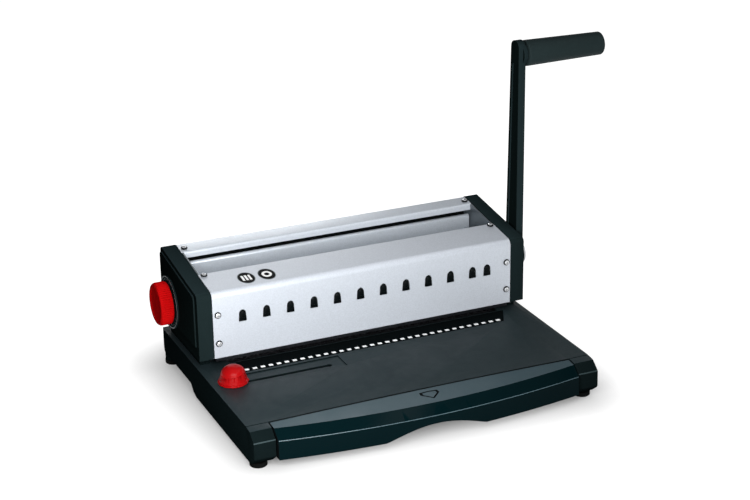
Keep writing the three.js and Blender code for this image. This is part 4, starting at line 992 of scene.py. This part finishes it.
def edge_guide():
    """The red edge guide: a pointed base with a double rim, a skirt, and a domed cap with a lip."""
    radius = (GUIDE[1].y - GUIDE[0].y) / 2
    x, y = GUIDE[0].x + radius, (GUIDE[0].y + GUIDE[1].y) / 2
    low, high = TABLE_TOP + GUIDE_LIFT, GUIDE[1].z
    tip_round = GUIDE_TIP["round"]
    tip = (GUIDE[1].x - tip_round, y - GUIDE_TIP["aside"])
    base = prism("edge_guide_body", wrapped([(x, y, radius), (*tip, tip_round)]), low, low + GUIDE_BASE, "Z")
    base = settled(softened(base, 0.6, 4, 50))
    outline = wrapped([(x, y, radius - GUIDE_RIM["inset"]), (tip[0] - GUIDE_RIM["short"], tip[1], tip_round)])
    rim = prism("rim", outline, low + GUIDE_RIM["low"], low + GUIDE_RIM["high"], "Z")
    rim = settled(softened(rim, 0.6, 4, 50))
    rings = [(x, y, radius - GUIDE_SKIRT["inset"], GUIDE_SKIRT["foot"], 0), (*tip, *GUIDE_SKIRT["tip"], 0),
             (x, y, *GUIDE_SKIRT["waist"], GUIDE_TILT)]
    skirt = hull_piece("skirt", [(point.x, point.y, low + height + (point.x - x) * tilt)
                                 for across, along, reach, height, tilt in rings
                                 for point in circle(across, along, reach, 96)])
    cap, lip = GUIDE_CAP
    rise = high - low - lip
    profile = [(0, low + lip)] + [(cap * out, low + lip + rise * up) for out, up in DOME_SHARES]
    dome = turned("dome", profile, (x, y), "Z", 96)
    for vertex in dome.data.vertices:
        at = (vertex.co - HOME) / MM
        vertex.co.z += (at.x - x) * GUIDE_TILT * max(0.0, 1 - (at.z - low - lip) / rise) * MM
    post_radius, post_top = GUIDE_POST
    post = prism("post", circle(x, y - GUIDE_TIP["aside"], post_radius, 24), GUIDE[0].z, low + post_top, "Z")
    stands_for(smoothed(joined(base, rim, skirt, dome, post), 38), guide_plastic, "edge_guide_knob")


# Lever

def pivot_cap():
    """The domed plated cap over the end of the shaft."""
    radius = (DISC[1].y - DISC[0].y) / 2
    left, right = DISC[0].x, DISC[1].x
    edge = left + DISC_EDGE
    crown = [(radius * math.cos(turn), edge + (right - edge) * math.sin(turn)) for turn in quarter(12)]
    rear = [(0, left), (radius - DISC_CHAMFER, left), (radius, left + DISC_CHAMFER)]
    cap = turned("pivot_cap_dome", rear + crown + [(0, right)], middle_of(DISC), "X", 96)
    stands_for(smoothed(cap, 40), cap_metal, "pivot_cap")


def grip():
    """The soft roller grip, a little thinner at its far end."""
    left, right = GRIP[0].x, GRIP[1].x
    (thick, thin), end = GRIP_RADIUS, GRIP_END
    bore, bore_deep = GRIP_BORE
    profile = [(bore, right - bore_deep), (bore, left)]
    profile += [(thick - inset, left + deep) for inset, deep in GRIP_LIP]
    profile += [(thin - end + end * math.cos(turn), right - end + end * math.sin(turn))
                for turn in quarter(10) + [math.pi / 2]]
    body = turned("grip_sleeve", profile + [(0, right)], middle_of(GRIP), "X", 96)
    filled(body)
    stands_for(smoothed(body, 45), grip_rubber, "grip")


# Drawer

def drawer_front():
    """The bowed drawer front: a top strip, an upper face, a crease and an arched lower edge."""
    half = FRONT[1].x - DRAWER_GAP
    top, web, web_top = TABLE_TOP, WEB_Z, WEB_Z + FRONT_WALL
    arch_low, seam = FRONT[0].z, FRONT[1].z
    rear = FRONT[1].y
    verts, faces = [], []
    for station in range(DRAWER_STATIONS + 1):
        x = -half + 2 * half * station / DRAWER_STATIONS
        bow = 1 - (x / half) ** 2
        seam_y, strip_y, crease_y, face_y = (y - DRAWER_BOWS[line] * bow for line, y in DRAWER_LINES.items())
        off = (x - ARCH["x"]) / ARCH["half"]
        low = arch_low + (ARCH["height"] * math.cos(off * math.pi / 2) if abs(off) < 1 else 0)
        section = [
            (seam_y, seam), (strip_y, top - STRIP_DROP), (crease_y + CREASE_TOP[0], top - CREASE_TOP[1]),
            (crease_y + CREASE_FOOT[0], top - CREASE_FOOT[1]), (face_y, low), (face_y + FRONT_WALL, low),
            (crease_y + FRONT_WALL, web - FRONT_WALL), (crease_y + 2 * FRONT_WALL, web), (rear, web),
            (rear, web_top), (seam_y, web_top)]
        count = len(section)
        verts += [(x, y, z) for y, z in section]
    for station in range(DRAWER_STATIONS):
        for corner in range(count):
            a = station * count + corner
            b = station * count + (corner + 1) % count
            faces.append((a, b, b + count, a + count))
    faces.append(tuple(range(count - 1, -1, -1)))
    faces.append(tuple(DRAWER_STATIONS * count + corner for corner in range(count)))
    front = piece_from("drawer_front_shell", verts, faces)
    joined(front, *drawer_ends(half))
    cut(front, pointer_groove())
    stands_for(softened(cleaned(front, 0.2), 0.7, 3, 20), drawer_plastic, "drawer_front")
    # Painted shade in the pointing groove and on the end walls, painted sheen on the ledge, painted highlight
    # on the crease
    for material in (painted_shade_black, ledge_painted_sheen, crease_painted_highlight):
        front.data.materials.append(material)
    for face in front.data.polygons:
        face.material_index = drawer_finish(face, face.center / MM - HOME / MM)


def drawer_ends(half):
    """The walls that close the drawer front at its two ends."""
    seam_y, strip_y, crease_y, face_y = DRAWER_LINES.values()
    low, seam = FRONT[0].z, FRONT[1].z
    web_top = WEB_Z + FRONT_WALL
    outline = [(seam_y, seam), (strip_y, TABLE_TOP - STRIP_DROP), (crease_y, TABLE_TOP - CREASE_DROP),
               (face_y, low), (END_REAR, low), (END_REAR, web_top), (seam_y, web_top)]
    return [prism("end", outline, *sorted((side * half, side * (half - END_WALL)))) for side in (-1, 1)]


def drawer_finish(face, at):
    """Which of the drawer front's finishes a face has: 0 plastic, 1 painted shade, 2 ledge with painted sheen
    or 3 crease with painted highlight.
    """
    wide, deep = POINTER_SIZE
    crease_middle = TABLE_TOP - (CREASE_TOP[1] + CREASE_FOOT[1]) / 2
    by_pointer = (abs(at.x - POINTER_AT[0]) < wide / 2 + 3 and abs(at.y - POINTER_AT[1]) < deep / 2 + 3.5
                  and at.z > POINTER_FLOOR - 0.4)
    # Walls and floor of the pointing groove: painted shade
    if by_pointer and (abs(face.normal.z) < 0.5 or in_groove(face, at)):
        return 1
    # Top faces of the strip take the lighter ledge finish: painted sheen
    if face.normal.z > 0.93 and at.z > POINTER_FLOOR - 0.9:
        return 2
    # The crease's rounded faces take the light finish: painted highlight
    if 0.3 < face.normal.z < 0.7 and face.normal.y < -0.5 and abs(at.z - crease_middle) < 0.6:
        return 3
    # End walls, seen through the gap at each end: painted shade
    return int(abs(face.normal.x) > 0.9)


def in_groove(face, at):
    """Whether a face of the drawer lies on the floor of the groove."""
    ledge = TABLE_TOP - LEDGE_DROPS[0] - LEDGE_DROPS[1] * (LEDGE_BACK - at.y) / LEDGE_RUN
    return face.normal.z > 0.9 and at.z < ledge - 0.35


def pointer_groove():
    """A shallow pointing mark in the drawer's top strip."""
    (x, y), (wide, deep) = POINTER_AT, POINTER_SIZE
    back, shoulder = y + deep / 2, y + deep / 2 - POINTER_SHOULDER
    left, right = x - wide / 2, x + wide / 2
    outer = [(left, shoulder), (left + POINTER_CORNER, back), (x, back + POINTER_CREST),
             (right - POINTER_CORNER, back), (right, shoulder), (x, y - deep / 2)]
    middle = Vector((x, y + deep * POINTER_MIDDLE_SHARE))
    inner = [tuple(middle + (Vector(point) - middle) * (1 - POINTER_BORDER / deep)) for point in outer]
    ring = prism("mark", outer, POINTER_FLOOR, TABLE_TOP + OVERRUN, "Z")
    return cut(ring, prism("core", inner, POINTER_FLOOR - OVERRUN, TABLE_TOP + 2 * OVERRUN, "Z"))


# Inside and underneath

def feet():
    """Rubber feet with a rounded sole."""
    for end in ("front", "rear"):
        for side in ("left", "right"):
            node = f"foot_{end}_{side}"
            low, high = span(node)
            centre = ((low.x + high.x) / 2, (low.y + high.y) / 2)
            radius = (high.x - low.x) / 2
            profile = [(0, 0)] + [(radius - inset, rise) for inset, rise in SOLE_EDGE]
            profile += [(radius, high.z - SOLE_CHAMFER), (radius - SOLE_CHAMFER, high.z), (0, high.z)]
            sole = turned(node + "_sole", profile, centre, "Z", 48)
            stands_for(smoothed(sole, 40), sole_rubber, node)


def inner_pieces():
    """The pieces inside keep their solids and get their real finish."""
    for nodes, material in [
        (("closer_fork_left", "closer_fork_right", "paper_stop", "drive_shaft", "tie_rod_front",
          "tie_rod_rear", "knob_shaft", "grip_axle"), steel),
        (("die_plate", "stripper_plate", "crank_left", "crank_right", "punch_carrier", "return_spring",
          "gap_cam", "stop_slide", "stop_guide"), dark_steel),
        (("shaft_bush_left", "shaft_bush_right"), plated),
        (("scale_strip", "edge_guide_slider", "drawer_runner_left", "drawer_runner_right"), strip_plastic),
    ]:
        for node in nodes:
            mesh = frame["nodes"][node].data
            mesh.materials.clear()
            mesh.materials.append(material)


# Stage, light and camera

def stage():
    """A pale floor that shows white to the camera and keeps the shadow, with a painted soft shadow round the
    machine's footprint.
    """
    reach = FLOOR_HALF
    corners = [(-reach, -reach), (reach, -reach), (reach, reach), (-reach, reach)]
    floor = piece_from("floor", [(x, y, FLOOR_Z) for x, y in corners], [(0, 1, 2, 3)])
    finish, tree, shader = new_finish("pale floor")
    cloth = add(tree, "ShaderNodeTexNoise", {"Scale": 3.0})
    tree.links.new(blended(tree, cloth.outputs["Fac"], tone(152, 152, 152), tone(160, 160, 160)),
                   shader.inputs["Base Color"])
    shader.inputs["Roughness"].default_value = 0.9
    shader.inputs["Specular IOR Level"].default_value = 0.0
    shader.inputs["Emission Color"].default_value = (1, 1, 1, 1)
    # The lift is lowest at the table's footprint and rises with distance: a painted soft shadow
    middle = (TABLE[0] + TABLE[1]) / 2
    half = (TABLE[1] - TABLE[0]) / 2 - Vector((PAINTED_SHADOW_INSET, PAINTED_SHADOW_INSET, 0))
    place = add(tree, "ShaderNodeTexCoord").outputs["Object"]
    moved = add(tree, "ShaderNodeVectorMath", {0: place, 1: HOME + middle * MM}, operation="SUBTRACT")
    folded = add(tree, "ShaderNodeVectorMath", {0: moved.outputs[0]}, operation="ABSOLUTE")
    past = add(tree, "ShaderNodeVectorMath", {0: folded.outputs[0], 1: Vector((half.x, half.y, 1000)) * MM},
               operation="SUBTRACT")
    outside = add(tree, "ShaderNodeVectorMath", {0: past.outputs[0], 1: (0, 0, 0)}, operation="MAXIMUM")
    away = add(tree, "ShaderNodeVectorMath", {0: outside.outputs[0]}, operation="LENGTH")
    lift_with_painted_shadow = add(tree, "ShaderNodeMapRange", {"Value": away.outputs["Value"], "From Max": PAINTED_SHADOW_WIDTH * MM,
                                            "To Min": PAINTED_SHADOW_LIFT, "To Max": 1.02})
    seen = add(tree, "ShaderNodeMath", {0: shown(tree), 1: lift_with_painted_shadow.outputs[0]}, operation="MULTIPLY")
    tree.links.new(seen.outputs[0], shader.inputs["Emission Strength"])
    floor.data.materials.append(finish)


def shown(tree):
    """One for what the camera sees, straight, in a reflection or through something clear."""
    path = add(tree, "ShaderNodeLightPath")
    seen = add(tree, "ShaderNodeMath", {0: path.outputs["Is Camera Ray"], 1: path.outputs["Is Glossy Ray"]},
               operation="MAXIMUM")
    return add(tree, "ShaderNodeMath", {0: seen.outputs[0], 1: path.outputs["Is Transmission Ray"]},
               operation="MAXIMUM").outputs[0]


def world_light():
    """A white room to the camera, with a grey ceiling for reflections, and dimmer where it only lights."""
    world = bpy.data.worlds.new("white room")
    bpy.context.scene.world = world
    world.use_nodes = True
    tree = world.node_tree
    ground = tree.nodes["Background"]
    upward = add(tree, "ShaderNodeSeparateXYZ", {0: add(tree, "ShaderNodeTexCoord").outputs["Generated"]})
    rise = add(tree, "ShaderNodeMapRange", {"Value": upward.outputs["Z"], "From Max": CEILING_RISE})
    path = add(tree, "ShaderNodeLightPath")
    unseen = add(tree, "ShaderNodeMath", {0: 1.0, 1: path.outputs["Is Camera Ray"]}, operation="SUBTRACT")
    grey = add(tree, "ShaderNodeMath", {0: rise.outputs[0], 1: unseen.outputs[0]}, operation="MULTIPLY")
    tree.links.new(blended(tree, grey.outputs[0], (1, 1, 1, 1), CEILING), ground.inputs["Color"])
    tree.links.new(between(tree, shown(tree), WORLD_LIGHT, 1.0), ground.inputs["Strength"])


def softbox(name, at, aim, size, watts):
    """A square soft light, placed and aimed in millimetres from the home point."""
    lamp = bpy.data.lights.new(name, "AREA")
    lamp.shape = "RECTANGLE"
    lamp.size, lamp.size_y = (side * MM for side in size)
    lamp.energy = watts
    light = bpy.data.objects.new(name, lamp)
    bpy.context.scene.collection.objects.link(light)
    place = HOME + Vector(at) * MM
    toward = (HOME + Vector(aim) * MM) - place
    light.visible_camera = False
    light.matrix_world = Matrix.Translation(place) @ toward.to_track_quat("-Z", "Y").to_matrix().to_4x4()


def lights():
    """A key from the left front, a wide top, a strip for the slope, a sheen from behind, a right side."""
    softbox("key light", (-240, -480, 290), (-60, 0, 90), (460, 340), 5.4)
    softbox("top light", (140, -220, 1050), (60, 0, 60), (1300, 900), 1.9)
    softbox("strip light", (330, -370, 850), (0, 0, 100), (1100, 70), 1.1)
    softbox("sheen light", (330, 1250, 740), (-60, 0, 60), (440, 380), 3.2)
    softbox("side light", (1000, 250, 170), (160, 0, 80), (600, 360), 2.2)


def camera():
    """The camera stands where the photograph was taken from."""
    ahead = Vector((math.sin(CAMERA_TURN), math.cos(CAMERA_TURN), 0))
    forward = ahead * math.cos(CAMERA_DOWN) - Vector((0, 0, math.sin(CAMERA_DOWN)))
    level = Vector((math.cos(CAMERA_TURN), -math.sin(CAMERA_TURN), 0))
    down = forward.cross(level)
    right = level * math.cos(CAMERA_ROLL) + down * math.sin(CAMERA_ROLL)
    low = down * math.cos(CAMERA_ROLL) - level * math.sin(CAMERA_ROLL)
    turn = Matrix((right, -low, -forward)).transposed().to_4x4()
    lens = bpy.data.cameras.new("camera")
    lens.lens = LENS_MM
    lens.sensor_width = 36.0
    view = bpy.data.objects.new("camera", lens)
    bpy.context.scene.collection.objects.link(view)
    view.matrix_world = Matrix.Translation(HOME + Vector(CAMERA_AT) * MM) @ turn
    bpy.context.scene.camera = view


camera()
bpy.context.scene.view_settings.view_transform = "Standard"
world_light()
lights()
stage()
front_cover()
wire_hooks()
covers_and_plates()
rear_bar()
mouldings_with_painted_light()
split_finishes()
screw_heads()
badges()
table_marks()
size_dial()
size_knob()
edge_guide()
pivot_cap()
grip()
drawer_front()
feet()
inner_pieces()
